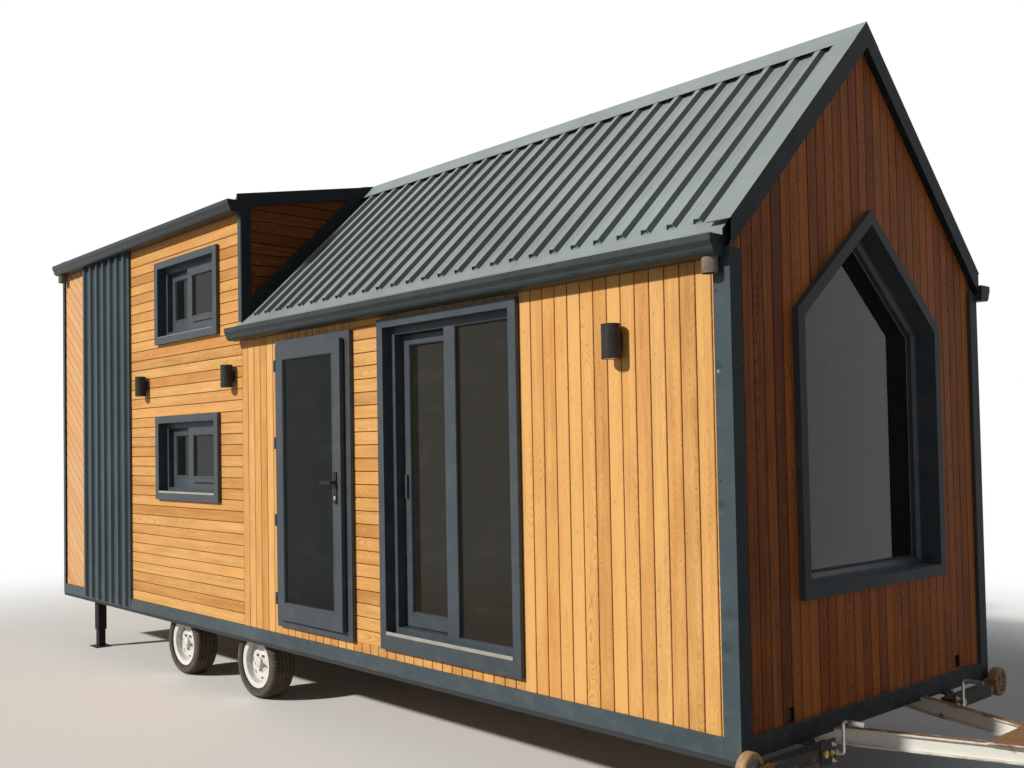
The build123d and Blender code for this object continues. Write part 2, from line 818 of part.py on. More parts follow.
# Verge trims at both ends, and the framing of the dormer front: fascia, corner post and band up the roof
fascia_front = (dormer_x + 1, dormer_x + 1 + fascia_thickness)
roof_clear = pan_level - running_gap
band_top = roof_clear - cheek_band
post_inside = half_width - cheek_post
fascia_tip = half_width + fascia_reach
with BuildPart() as verge_trims:
    verge(front_x + verge_proud, -1, roof_pitch)
    verge(rear_x - verge_proud, 1, dormer_pitch)
    for side in (-1, 1):
        framing = [
            (0, ridge_height),
            (side * fascia_tip, roof_z(fascia_tip, 0, dormer_pitch)),
            (side * fascia_tip, dormer_gutter_top + 1),
            (side * half_width, dormer_gutter_top + 1),
            (side * half_width, roof_z(half_width, roof_clear)),
            (0, roof_z(0, roof_clear)),
        ]
        gable_slab(framing, fascia_front)
        band_gap = verge_band / cos(radians(dormer_pitch)) - band_top / cos(radians(roof_pitch))
        band_meet = band_gap / pitch_gap
        open_triangle = [
            (side * band_meet, roof_z(band_meet, band_top)),
            (side * post_inside, roof_z(post_inside, verge_band, dormer_pitch)),
            (side * post_inside, roof_z(post_inside, band_top)),
        ]
        gable_slab(open_triangle, (dormer_x, dormer_x + fascia_thickness + 2), mode=Mode.SUBTRACT)
finish(verge_trims, "verge_trims")

# Gutters, hung on the eaves: flat floor, rounded outer corner, near-upright face with a rolled bead
near_run = (dormer_x - gutter_overlap, front_x - trim_proud - 1)
far_run = (dormer_x - gutter_overlap, front_x + far_gutter_overrun)
dormer_run = (rear_x + trim_proud + 1, fascia_front[1])


def gutter_section(start, side, low, inset):
    """Gutter section moved in by inset, on the plane where the gutter starts."""
    radius = gutter_curve - inset
    plane = Plane(origin=(start, side * half_width, low), x_dir=(0, side, 0), z_dir=(side, 0, 0))
    with BuildSketch(plane) as outline:
        with BuildLine():
            Polyline(
                (gutter_floor + radius, gutter_curve),
                (gutter_width - inset, gutter_shoulder),
                (gutter_width - inset, gutter_height + inset),
                (inset, gutter_height + inset),
                (inset, inset),
                (gutter_floor, inset),
            )
            JernArc(start=(gutter_floor, inset), tangent=(1, 0), radius=radius, arc_size=90)
        make_face()
    return outline.sketch


with BuildPart() as gutters:
    for side in (-1, 1):
        main_run = near_run if side < 0 else far_run
        for run, top in ((main_run, main_gutter_top), (dormer_run, dormer_gutter_top)):
            low = top - gutter_height
            start, end = (run[0], run[1]) if side > 0 else (run[1], run[0])
            length = run[1] - run[0]
            extrude(gutter_section(start, side, low, 0), amount=length)
            hollow = gutter_section(start + side * gutter_sheet, side, low, gutter_sheet)
            extrude(hollow, amount=length - 2 * gutter_sheet, mode=Mode.SUBTRACT)
            bead_plane = Plane(
                origin=(start, side * (half_width + gutter_width - gutter_bead), top - gutter_bead),
                x_dir=(0, side, 0),
                z_dir=(side, 0, 0),
            )
            with BuildSketch(bead_plane):
                Circle(gutter_bead)
            extrude(amount=length)
finish(gutters, "gutters")

# Outlet stubs under the gutter floors
outlet_y = half_width + outlet_radius + 1
outlet_places = (
    (near_run[1] - outlet_setback, main_gutter_top),
    (dormer_run[0] + outlet_setback, dormer_gutter_top),
)
with BuildPart() as gutter_outlets:
    for side in (-1, 1):
        for x, top in outlet_places:
            with BuildSketch(Plane.XY.offset(top - gutter_height - outlet_drop)):
                with Locations((x, side * outlet_y)):
                    Circle(outlet_radius)
                    Circle(outlet_radius - outlet_wall, mode=Mode.SUBTRACT)
            extrude(amount=outlet_drop)
            with BuildSketch(Plane.XY.offset(top - gutter_height - outlet_drop + 12)):
                with Locations((x, side * outlet_y)):
                    Circle(outlet_radius)
                    Circle(outlet_radius - outlet_wall - 2, mode=Mode.SUBTRACT)
            extrude(amount=4)
finish(gutter_outlets, "gutter_outlets")

# Cladding: one board layer on each face, with the openings cut through
main_clad_top = roof_z(cladding_face, deck_underside) - 1
dormer_clad_top = roof_z(cladding_face, deck_underside, dormer_pitch) - 1


def clad_side(side):
    """Board layer of a long side, in two lengths beside the ribbed panel."""
    depth = (side * core_face, side * cladding_face)
    slab((rear_x + trim_proud, along(panel_rear)), depth, (skirt_top, dormer_clad_top))
    slab((along(panel_front), dormer_x), depth, (skirt_top, dormer_clad_top))
    slab((dormer_x - 1, front_x - trim_proud), depth, (skirt_top, main_clad_top))


with BuildPart() as side_cladding:
    clad_side(-1)
    clad_side(1)
    cut = (-core_face + 1, -cladding_face - 1)
    entrance_hole = (along(entrance_left), along(entrance_right))
    slab(entrance_hole, cut, (door_sill_bottom, entrance_top), mode=Mode.SUBTRACT)
    slab((along(patio_left), along(patio_right)), cut, (door_sill_bottom, patio_top), mode=Mode.SUBTRACT)
    for bottom in window_bottoms:
        hole = (along(window_left), along(window_right))
        slab(hole, cut, (bottom, bottom + window_height), mode=Mode.SUBTRACT)
finish(side_cladding, "side_cladding")

with BuildPart() as gable_cladding:
    gable_slab(gable_outline(core_face, skirt_top, roof_pitch), (core_front, front_x - trim_proud))
    gable_slab(window_outline(0), (core_front - 1, front_x), mode=Mode.SUBTRACT)
    gable_slab(gable_outline(core_face, skirt_top, dormer_pitch), (rear_x + trim_proud, core_rear))
    for side in (-1, 1):
        gable_slab(cheek_outline(side, core_face), (dormer_x - cladding_thickness, dormer_x - 0.5))
    half_vent = vent_size / 2
    for y, z in vent_places:
        vent_y = (y - half_vent, y + half_vent)
        slab((core_front - 1, front_x), vent_y, (z - half_vent, z + half_vent), mode=Mode.SUBTRACT)
finish(gable_cladding, "gable_cladding")

# Corner trims
front_trim_top = roof_z(half_width, verge_band) - 1
rear_trim_top = roof_z(half_width, verge_band, dormer_pitch) - 1
with BuildPart() as corner_trims:
    for side in (-1, 1):
        for corner, inward, reach, top in (
            (front_x, -1, front_corner_side, front_trim_top),
            (rear_x, 1, rear_corner_side, rear_trim_top),
        ):
            with BuildSketch(Plane.XY.offset(skirt_bottom)):
                Polygon(
                    (corner, side * half_width),
                    (corner + inward * reach, side * half_width),
                    (corner + inward * reach, side * cladding_face),
                    (corner + inward * (reach - corner_sheet), side * cladding_face),
                    (corner + inward * (reach - corner_sheet), side * (half_width - corner_sheet)),
                    (corner + inward * corner_sheet, side * (half_width - corner_sheet)),
                    (corner + inward * corner_sheet, side * (half_width - corner_gable_width + corner_sheet)),
                    (corner + inward * trim_proud, side * (half_width - corner_gable_width + corner_sheet)),
                    (corner + inward * trim_proud, side * (half_width - corner_gable_width)),
                    (corner, side * (half_width - corner_gable_width)),
                    align=None,
                )
            extrude(amount=top - skirt_bottom)
            slab(
                (corner + inward * trim_sheet, corner + inward * (reach + 5)),
                (side * (half_width - trim_sheet), side * (half_width - corner_gable_width - 5)),
                (skirt_bottom - 1, skirt_top - 2),
                mode=Mode.SUBTRACT,
            )
        slab(
            (dormer_x - dormer_corner_side, dormer_x + 1),
            (side * cladding_face, side * half_width),
            (roof_z(cladding_face, pan_level) + 1, rear_trim_top),
        )
finish(corner_trims, "corner_trims")

# Skirt round the foot of the walls
with BuildPart() as bottom_skirt:
    for side in (-1, 1):
        run = (rear_x + rear_corner_side + 1, front_x - front_corner_side - 1)
        slab(run, (side * rail_outer, side * half_width), (skirt_bottom, skirt_top))
        slab(run, (side * cladding_face, side * half_width), (rail_top, skirt_top))
    for corner, inward in ((front_x, -1), (rear_x, 1)):
        width = (-half_width + corner_gable_width + 1, half_width - corner_gable_width - 1)
        slab((corner, corner + inward * trim_sheet), width, (skirt_bottom, skirt_top))
        slab((corner, corner + inward * trim_proud), width, (rail_top, skirt_top))
    for side in (-1, 1):
        offset = side * beam_offset_at_front
        beam_hole = (offset - 40, offset + 40)
        slab((front_x - 10, front_x + 1), beam_hole, (skirt_bottom - 1, beam_top + 4), mode=Mode.SUBTRACT)
finish(bottom_skirt, "bottom_skirt")

# Ribbed steel panel on each long side
with BuildPart() as ribbed_panels:
    panel_top = dormer_gutter_top - gutter_height - 2
    for side in (-1, 1):
        plane = Plane(origin=(0, side * (half_width + 2), panel_bottom), x_dir=(1, 0, 0), z_dir=(0, 0, 1))
        with BuildSketch(plane):
            middle = (along(panel_rear) + along(panel_front)) / 2
            width = panel_front - panel_rear
            with Locations((middle, side * pan_thickness / 2)):
                Rectangle(width, pan_thickness)
            top = side * (roof_rib_height + pan_thickness)
            with GridLocations(rib_pitch, 1, 7, 1):
                with Locations((middle, 0)):
                    Polygon(*rib_outline(top, 0), align=None)
            with GridLocations(rib_pitch, 1, 7, 1):
                with Locations((middle, 0)):
                    hollow = rib_outline(side * roof_rib_height, pan_thickness)
                    Polygon(*hollow, align=None, mode=Mode.SUBTRACT)
        extrude(amount=panel_top - panel_bottom)
        for edge, inward in ((along(panel_rear), 1), (along(panel_front), -1)):
            depth = (side * core_face, side * (half_width + 2 + pan_thickness))
            slab((edge, edge + inward * pan_thickness), depth, (skirt_top + 1, panel_top))
finish(ribbed_panels, "ribbed_panels")

# Small windows: projecting surround, a frame set back in it, a sliding sash and a fixed panel
window_front = half_width + surround_proud
window_inner_left = window_left + window_face
window_inner_right = window_right - window_face
frame_y = (window_frame_recess - window_front, -wall_inside - 20)
sash_y = (window_sash_recess - window_front, window_sash_recess - window_front + window_sash_thickness)
mullion_left = window_left + window_mullion_place
mullion_right = mullion_left + window_mullion
window_inner_frame = (window_inner_left + window_frame, window_inner_right - window_frame)
window_sash_run = (window_inner_frame[0] + 2, mullion_left + window_stile)

with BuildPart() as small_window_surrounds:
    for bottom in window_bottoms:
        top = bottom + window_height
        slab((along(window_left), along(window_right)), (-window_front, -wall_inside - 20), (bottom, top))
        slab(
            (along(window_inner_left), along(window_inner_right)),
            (-window_front - 1, -wall_inside),
            (bottom + window_face, top - window_face),
            mode=Mode.SUBTRACT,
        )
finish(small_window_surrounds, "small_window_surrounds")

small_panes = []
with BuildPart() as small_window_sashes:
    for bottom in window_bottoms:
        low = bottom + window_face
        high = bottom + window_height - window_face
        inner_low = low + window_frame
        inner_high = high - window_frame
        slab((along(window_inner_left), along(window_inner_right)), frame_y, (low, high))
        slab(
            (along(window_inner_frame[0]), along(window_inner_frame[1])),
            (frame_y[0] - 1, frame_y[1] + 1),
            (inner_low, inner_high),
            mode=Mode.SUBTRACT,
        )
        pane_height = (inner_low + window_bottom_rail, inner_high - window_top_rail)
        panel_y = (frame_y[0], sash_y[0] - 4)
        slab((along(mullion_left), along(window_inner_frame[1])), panel_y, (inner_low, inner_high))
        fixed_pane = (along(mullion_right), along(window_inner_frame[1] - window_fixed_stile))
        slab(fixed_pane, (panel_y[0] - 1, panel_y[1] + 1), pane_height, mode=Mode.SUBTRACT)
        sash_x = (along(window_sash_run[0]), along(window_sash_run[1]))
        slab(sash_x, sash_y, (inner_low + running_gap, inner_high - running_gap))
        sash_pane = (along(window_sash_run[0] + window_stile), along(window_sash_run[1] - window_stile))
        slab(sash_pane, (sash_y[0] - 1, sash_y[1] + 1), pane_height, mode=Mode.SUBTRACT)
        for pane, depth in ((fixed_pane, panel_y), (sash_pane, sash_y)):
            middle = (depth[0] + depth[1]) / 2
            pane_depth = (middle - glass_thickness / 2, middle + glass_thickness / 2)
            small_panes.append((pane, pane_depth, pane_height))
finish(small_window_sashes, "small_window_sashes")

# Gable window: deep surround that holds a fixed pane
glass_x = front_x - gable_window_recess
with BuildPart() as gable_window_surround:
    gable_slab(window_outline(0), (inside_front, front_x + surround_proud))
    reveal = (inside_front - 1, front_x + surround_proud + 1)
    gable_slab(window_outline(gable_window_face), reveal, mode=Mode.SUBTRACT)
    inner_edge = gable_window_face + gable_window_frame
    for x in ((inside_front, glass_x), (glass_x + glass_thickness, glass_x + glass_thickness + 15)):
        gable_slab(window_outline(gable_window_face - 1), x)
        gable_slab(window_outline(inner_edge), (x[0] - 0.01, x[1] + 0.01), mode=Mode.SUBTRACT)
finish(gable_window_surround, "gable_window_surround")

# Entrance door: frame in the wall, glazed leaf in front of it
frame_front = half_width + surround_proud
leaf_back = -(frame_front + door_gap)
leaf_front = leaf_back - entrance_leaf_thickness
leaf_left = entrance_left + entrance_leaf_margin
leaf_right = entrance_right - entrance_leaf_margin
hinge_x = along(leaf_left) - hinge_radius - 1
hinge_y = leaf_front

with BuildPart() as entrance_frame:
    entrance_width = (along(entrance_left), along(entrance_right))
    slab(entrance_width, (-frame_front, -wall_inside - 20), (floor_top, entrance_top))
    slab(entrance_width, (-frame_front, -core_face - running_gap), (door_sill_bottom, floor_top))
    slab(
        (along(entrance_left + entrance_frame_width), along(entrance_right - entrance_frame_width)),
        (-frame_front - 1, -wall_inside),
        (floor_top + entrance_frame_width, entrance_top - entrance_frame_width),
        mode=Mode.SUBTRACT,
    )
    for height in hinge_heights:
        with BuildSketch(Plane.XY.offset(height - 40)):
            with Locations((hinge_x, hinge_y)):
                Circle(hinge_radius)
        extrude(amount=39.7)
        slab((hinge_x - 3, hinge_x + 3), (-frame_front + 1, hinge_y), (height - 40, height - 0.3))
        with BuildSketch(Plane.XY.offset(height - 1)):
            with Locations((hinge_x, hinge_y)):
                Circle(4)
        extrude(amount=36)
finish(entrance_frame, "entrance_frame")

leaf_pane_x = (along(leaf_left + entrance_stile), along(leaf_right - entrance_stile))
leaf_pane_z = (entrance_leaf_bottom + entrance_bottom_rail, entrance_leaf_top - entrance_top_rail)
leaf_middle = (leaf_back + leaf_front) / 2
leaf_inside = leaf_back + door_gap + rebate_depth
handle_x = along(leaf_right - handle_inset)
handle_plate_thickness = 8.0
lever_neck = 9.0
with BuildPart() as entrance_leaf:
    leaf_x = (along(leaf_left), along(leaf_right))
    rebate_inset = entrance_frame_width + rebate_gap
    slab(leaf_x, (leaf_front, leaf_back), (entrance_leaf_bottom, entrance_leaf_top))
    slab(
        (along(entrance_left + rebate_inset), along(entrance_right - rebate_inset)),
        (leaf_back - 1, leaf_inside),
        (floor_top + rebate_inset, entrance_top - rebate_inset),
    )
    slab(leaf_pane_x, (leaf_front - 1, leaf_back + 60), leaf_pane_z, mode=Mode.SUBTRACT)
    for height in hinge_heights:
        slab((hinge_x, along(leaf_left) + 1), (hinge_y, hinge_y + 6), (height, height + 40))
        with BuildSketch(Plane.XY.offset(height)):
            with Locations((hinge_x, hinge_y)):
                Circle(hinge_radius)
        extrude(amount=40)
        with BuildSketch(Plane.XY.offset(height)):
            with Locations((hinge_x, hinge_y)):
                Circle(4 + running_gap)
        extrude(amount=40, mode=Mode.SUBTRACT)
    with BuildSketch(Plane(origin=(handle_x, leaf_front - 1, handle_height), z_dir=(0, 1, 0))):
        Circle(lever_neck + running_gap)
    extrude(amount=leaf_inside - leaf_front + 2, mode=Mode.SUBTRACT)
finish(entrance_leaf, "entrance_leaf")

# Handle plates on both faces of the leaf
with BuildPart() as entrance_handle_plates:
    plate_height = (handle_height - handle_plate_down, handle_height + handle_plate_up)
    plate_width = (handle_x - handle_plate_width / 2, handle_x + handle_plate_width / 2)
    slab(plate_width, (leaf_front - handle_plate_thickness, leaf_front), plate_height)
    slab(plate_width, (leaf_inside, leaf_inside + handle_plate_thickness), plate_height)
    with BuildSketch(Plane(origin=(handle_x, leaf_front - 20, handle_height), z_dir=(0, 1, 0))):
        Circle(lever_neck + running_gap)
    extrude(amount=leaf_inside - leaf_front + 40, mode=Mode.SUBTRACT)
finish(entrance_handle_plates, "entrance_handle_plates")

with BuildPart() as entrance_glass:
    slab(leaf_pane_x, (leaf_middle - glass_thickness / 2, leaf_middle + glass_thickness / 2), leaf_pane_z)
finish(entrance_glass, "entrance_glass")

# Lever handle, outside and inside, on one spindle
with BuildPart() as entrance_lever:
    for start, out in ((leaf_front - handle_plate_thickness, -1), (leaf_inside + handle_plate_thickness, 1)):
        lever_y = (start + out * 32, start + out * 44)
        slab((handle_x - lever_length, handle_x + 9), lever_y, (handle_height - 9, handle_height + 9))
    spindle_start = leaf_front - handle_plate_thickness - 44
    with BuildSketch(Plane(origin=(handle_x, spindle_start, handle_height), z_dir=(0, 1, 0))):
        Circle(lever_neck)
    extrude(amount=leaf_inside - leaf_front + 2 * handle_plate_thickness + 88)
    fillet(entrance_lever.edges().filter_by(Axis.Z).group_by(Axis.X)[0], radius=4)
finish(entrance_lever, "entrance_lever")

# Patio door: projecting surround, frame set back in it with a fixed pane, and a sliding sash behind
patio_front = half_width + surround_proud
patio_depth = (-patio_front, -wall_inside + 15)
patio_inner_left = patio_left + patio_face
patio_inner_right = patio_right - patio_face
patio_inner_low = door_sill_bottom + patio_bottom_face
patio_inner_high = patio_top - patio_face
daylight_left = patio_inner_left + patio_frame_width
daylight_right = patio_inner_right - patio_frame_width
patio_low = patio_inner_low + patio_frame_width
patio_high = patio_inner_high - patio_frame_width
patio_frame_y = patio_frame_recess - patio_front
sliding_y = (patio_sash_recess - patio_front, patio_sash_recess - patio_front + patio_sash_thickness)
fixed_left = daylight_right - patio_fixed_width
patio_mullion_y = (patio_frame_y, patio_frame_y + 35)
fixed_pane_x = (along(fixed_left), along(daylight_right))
fixed_pane_y = (patio_frame_y + 20, patio_frame_y + 20 + glass_thickness)

with BuildPart() as patio_frame:
    patio_width = (along(patio_left), along(patio_right))
    slab(patio_width, patio_depth, (floor_top, patio_top))
    slab(patio_width, (-patio_front, -core_face - running_gap), (door_sill_bottom, floor_top))
    slab(
        (along(patio_inner_left), along(patio_inner_right)),
        (-patio_front - 1, patio_frame_y),
        (patio_inner_low, patio_inner_high),
        mode=Mode.SUBTRACT,
    )
    slab(
        (along(daylight_left), along(daylight_right)),
        (-patio_front - 1, -wall_inside + 16),
        (patio_low, patio_high),
        mode=Mode.SUBTRACT,
    )
    mullion_x = (along(fixed_left - patio_mullion_width), along(fixed_left))
    slab(mullion_x, patio_mullion_y, (patio_low - 1, patio_high + 1))
finish(patio_frame, "patio_frame")

sash_left = daylight_left + door_gap
sash_right = sash_left + patio_sash_width
sash_low = patio_low + patio_slide_gap
sash_high = patio_high - patio_slide_gap
sliding_pane_x = (along(sash_left + patio_stile), along(sash_right - patio_stile))
sliding_pane_z = (sash_low + patio_bottom_rail, sash_high - patio_stile)
with BuildPart() as patio_sash:
    slab((along(sash_left), along(sash_right)), sliding_y, (sash_low, sash_high))
    slab(sliding_pane_x, (sliding_y[0] - 1, sliding_y[1] + 1), sliding_pane_z, mode=Mode.SUBTRACT)
    for shoe in (sash_left + 60, sash_right - 120):
        shoe_y = (sliding_y[0] + 12, sliding_y[1] - 12)
        slab((along(shoe), along(shoe + 60)), shoe_y, (patio_low + running_gap, sash_low + 1))
    slab(
        (along(sash_left) + 22, along(sash_left) + 38),
        (sliding_y[0] - 16, sliding_y[0] + 1),
        (handle_height - 90, handle_height + 50),
    )
finish(patio_sash, "patio_sash")

with BuildPart() as patio_sash_glass:
    sash_middle = (sliding_y[0] + sliding_y[1]) / 2
    sash_glass_y = (sash_middle - glass_thickness / 2, sash_middle + glass_thickness / 2)
    slab(sliding_pane_x, sash_glass_y, sliding_pane_z)
finish(patio_sash_glass, "patio_sash_glass")

# Fixed glass: small windows, gable window and the fixed patio panel
with BuildPart() as window_glass:
    for pane_range, depth, height in small_panes:
        slab(pane_range, depth, height)
    gable_slab(window_outline(gable_window_face), (glass_x, glass_x + glass_thickness))
    slab(fixed_pane_x, fixed_pane_y, (patio_low, patio_high))
finish(window_glass, "window_glass")

# Wall lights
with BuildPart() as wall_lights:
    for station, height in light_places:
        light_y = -(cladding_face + 12 + light_radius)
        with BuildSketch(Plane.XY.offset(height - light_height / 2)):
            with Locations((along(station), light_y)):
                Circle(light_radius)
        extrude(amount=light_height)
        for mouth, inward in ((height - light_height / 2, 1), (height + light_height / 2, -1)):
            with BuildSketch(Plane(origin=(along(station), light_y, mouth), z_dir=(0, 0, inward))):
                Circle(light_radius - light_wall)
            extrude(amount=light_recess, mode=Mode.SUBTRACT)
        slab(
            (along(station) - 25, along(station) + 25),
            (-cladding_face, light_y + light_radius - 10),
            (height - 40, height + 40),
        )
finish(wall_lights, "wall_lights")
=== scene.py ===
import math
import random

import bmesh
import bpy
from mathutils import Matrix, Vector


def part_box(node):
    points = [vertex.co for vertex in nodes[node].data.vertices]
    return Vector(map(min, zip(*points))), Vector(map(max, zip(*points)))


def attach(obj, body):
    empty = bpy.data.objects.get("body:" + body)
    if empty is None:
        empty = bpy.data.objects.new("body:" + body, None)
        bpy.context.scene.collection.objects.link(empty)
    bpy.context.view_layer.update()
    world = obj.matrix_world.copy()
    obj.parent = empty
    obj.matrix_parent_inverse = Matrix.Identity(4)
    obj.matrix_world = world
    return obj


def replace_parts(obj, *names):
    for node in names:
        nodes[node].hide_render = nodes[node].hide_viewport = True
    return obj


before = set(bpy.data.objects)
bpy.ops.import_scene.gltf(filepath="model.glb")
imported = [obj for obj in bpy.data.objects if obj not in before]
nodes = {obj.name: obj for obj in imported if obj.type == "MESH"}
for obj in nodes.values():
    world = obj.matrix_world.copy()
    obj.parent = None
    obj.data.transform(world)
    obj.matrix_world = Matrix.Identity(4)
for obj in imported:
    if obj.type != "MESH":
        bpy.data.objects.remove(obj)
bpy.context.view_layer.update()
random.seed(7)


# Camera, at the photograph's place

CAMERA_PLACE = (5.5287, -5.1893, 1.7859)
CAMERA_RIGHT = (0.6200, 0.7845, -0.0139)
CAMERA_FORWARD = (-0.7839, 0.6201, 0.0304)
FOCAL_PIXELS = 1035.76
CENTRE_PIXEL = (370.82, 419.45)
PICTURE = (1024, 768)
SENSOR_WIDTH = 36
SIGHT_END = 200


def put_in(name, data):
    """A new object in the scene."""
    made = bpy.data.objects.new(name, data)
    bpy.context.scene.collection.objects.link(made)
    return made


def place_camera():
    camera = put_in("camera", bpy.data.cameras.new("camera"))
    right = Vector(CAMERA_RIGHT).normalized()
    back = -Vector(CAMERA_FORWARD)
    back = (back - right * back.dot(right)).normalized()
    turn = Matrix((right, back.cross(right), back)).transposed()
    camera.matrix_world = Matrix.Translation(CAMERA_PLACE) @ turn.to_4x4()
    lens = camera.data
    lens.sensor_width = SENSOR_WIDTH
    lens.lens = SENSOR_WIDTH * FOCAL_PIXELS / PICTURE[0]
    lens.shift_x = (PICTURE[0] / 2 - CENTRE_PIXEL[0]) / PICTURE[0]
    lens.shift_y = (CENTRE_PIXEL[1] - PICTURE[1] / 2) / PICTURE[0]
    lens.clip_end = SIGHT_END
    bpy.context.scene.camera = camera


place_camera()


# Sizes in metres, most of them read from the frame

MAIN_PITCH = math.radians(42.5)
DORMER_PITCH = math.radians(10.5)
RIDGE_HEIGHT = 3.915
PAN_DROP = 0.028
DECK_DROP = 0.030
DECK_UNDER_DROP = 0.092
CLAD_JOINT = 0.001

clad_low, clad_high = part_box("side_cladding")
skirt_low, skirt_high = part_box("bottom_skirt")
CORE_FACE = -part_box("right_wall")[0].y
BODY_FRONT = skirt_high.x
BODY_REAR = skirt_low.x
HALF_WIDTH = skirt_high.y
DORMER_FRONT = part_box("loft_floor")[1].x
CLAD_FOOT = clad_low.z
DORMER_CLAD_TOP = clad_high.z
FRONT_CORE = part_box("front_gable_wall")[1].x
REAR_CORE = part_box("rear_gable_wall")[0].x
SIDES = ((-1, "right"), (1, "left"))


def roof_z(y, drop, pitch=MAIN_PITCH):
    """Height at distance y from the ridge, on the plane that lies drop below the roof surface."""
    return RIDGE_HEIGHT - drop / math.cos(pitch) - abs(y) * math.tan(pitch)


MAIN_CLAD_TOP = roof_z(-clad_low.y, DECK_UNDER_DROP) - CLAD_JOINT


# Solids gathered into one mesh

class Solids:
    """Closed solids gathered into one mesh, with a value or more at each point."""

    def __init__(self):
        self.points = []
        self.faces = []
        self.values = {}

    def loft(self, *loops, ring=False, **values):
        """One solid through loops of equally many points, closed at both ends or into a ring."""
        first = len(self.points)
        count = len(loops[0])
        last = first + (len(loops) - 1) * count
        for loop in loops:
            self.points.extend(tuple(point) for point in loop)
        for name, listed in values.items():
            self.values.setdefault(name, []).extend(listed)
        for row in range(len(loops) if ring else len(loops) - 1):
            a = first + row * count
            b = first + (row + 1) % len(loops) * count
            for k in range(count):
                j = (k + 1) % count
                self.faces.append((a + k, a + j, b + j, b + k))
        if not ring:
            self.faces.append(tuple(range(first + count - 1, first - 1, -1)))
            self.faces.append(tuple(range(last, last + count)))


def make(name, solids, finish, body="house", smooth=None):
    """A piece from gathered solids. Edges flatter than smooth degrees are shaded round."""
    mesh = bpy.data.meshes.new(name)
    mesh.from_pydata(solids.points, [], solids.faces)
    for attribute, listed in solids.values.items():
        held = mesh.attributes.new(attribute, "FLOAT_VECTOR", "POINT")
        held.data.foreach_set("vector", [number for value in listed for number in value])
    shape = bmesh.new()
    shape.from_mesh(mesh)
    bmesh.ops.recalc_face_normals(shape, faces=shape.faces)
    if smooth:
        limit = math.radians(smooth)
        for face in shape.faces:
            face.smooth = True
        for edge in shape.edges:
            edge.smooth = len(edge.link_faces) == 2 and edge.calc_face_angle() < limit
    shape.to_mesh(mesh)
    shape.free()
    mesh.materials.append(finish)
    piece = put_in(name, mesh)
    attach(piece, body)
    return piece


def circle(centre, axis, radius, count=16, sides=0):
    """Points round an axis. With sides they lie on a polygon of that many sides."""
    axis = Vector(axis).normalized()
    across = axis.orthogonal().normalized()
    up = axis.cross(across)
    points = []
    for k in range(count):
        angle = math.tau * k / count
        reach = radius
        if sides:
            part = math.tau / sides
            reach = radius * math.cos(part / 2) / math.cos(angle % part - part / 2)
        points.append(Vector(centre) + across * reach * math.cos(angle) + up * reach * math.sin(angle))
    return points


def turned(solids, centre, axis, profile, count=16, ring=False):
    """A solid of revolution through (distance along the axis, radius) stations. A third number at a
    station makes it a polygon of that many sides."""
    direction = Vector(axis).normalized()
    loops = [circle(Vector(centre) + direction * a, axis, r, count, *sides) for a, r, *sides in profile]
    solids.loft(*loops, ring=ring)


def box(solids, x, y, z, chamfer=0.0):
    """Box between ranges, its four lengthwise edges cut by the chamfer."""
    c = chamfer
    section = rect(y, z)
    if c:
        section = [
            (y[0] + c, z[0]), (y[1] - c, z[0]), (y[1], z[0] + c), (y[1], z[1] - c),
            (y[1] - c, z[1]), (y[0] + c, z[1]), (y[0], z[1] - c), (y[0], z[0] + c),
        ]
    solids.loft(*[[(at, b, h) for b, h in section] for at in x])


def rect(u, v):
    """The four corners of a rectangle between two ranges."""
    return [(u[0], v[0]), (u[1], v[0]), (u[1], v[1]), (u[0], v[1])]


SCREW_PROFILE = ((0, 1.6), (0.3, 1.5), (0.3, 1, 6), (0.95, 1, 6), (1.05, 0.8, 6))


def screw(solids, place, normal, size):
    """Hexagon-headed sheet screw with its washer."""
    profile = [(up * size, reach * size, *sides) for up, reach, *sides in SCREW_PROFILE]
    turned(solids, place, normal, profile, 12)


def hoop(solids, place, outline, profile, base=0.0):
    """A mitred frame: outline(inset) gives corners, profile is a closed list of (inset, depth from base)."""
    rings = [outline(inset) for inset, _ in profile]
    loops = []
    for corner in range(len(rings[0])):
        loops.append([place(*each[corner], base + depth) for each, (_, depth) in zip(rings, profile)])
    solids.loft(*loops, ring=True)


def rectangle(u, v):
    """Outline function of a rectangle between two ranges, for a hoop."""
    return lambda inset: rect((u[0] + inset, u[1] - inset), (v[0] + inset, v[1] - inset))


# Shader nodes

SHEEN_LEVEL = 0.2


class Field:
    """An output of a shader node: a number, place or colour that varies over the surface."""

    def __init__(self, socket):
        self.socket = socket

    def beside(self, output):
        """Another output of the same node."""
        return Field(self.socket.node.outputs[output])

    def calc(self, operation, *others):
        """The result of an operation on this number and others."""
        inputs = {f"i{number}": value for number, value in enumerate((self, *others))}
        return field("Math", settings={"operation": operation}, **inputs)

    def __add__(self, other):
        return self.calc("ADD", other)

    def __sub__(self, other):
        return self.calc("SUBTRACT", other)

    def __rsub__(self, other):
        return self * -1.0 + other

    def __mul__(self, other):
        return self.calc("MULTIPLY", other)

    def __truediv__(self, other):
        return self.calc("DIVIDE", other)

    def __abs__(self):
        return self.calc("ABSOLUTE")


def put(value, socket):
    """Fill an input with a number, a colour or a field."""
    if isinstance(value, Field):
        socket.id_data.links.new(value.socket, socket)
    elif socket.type == "RGBA":
        socket.default_value = (*value, 1)
    else:
        socket.default_value = value


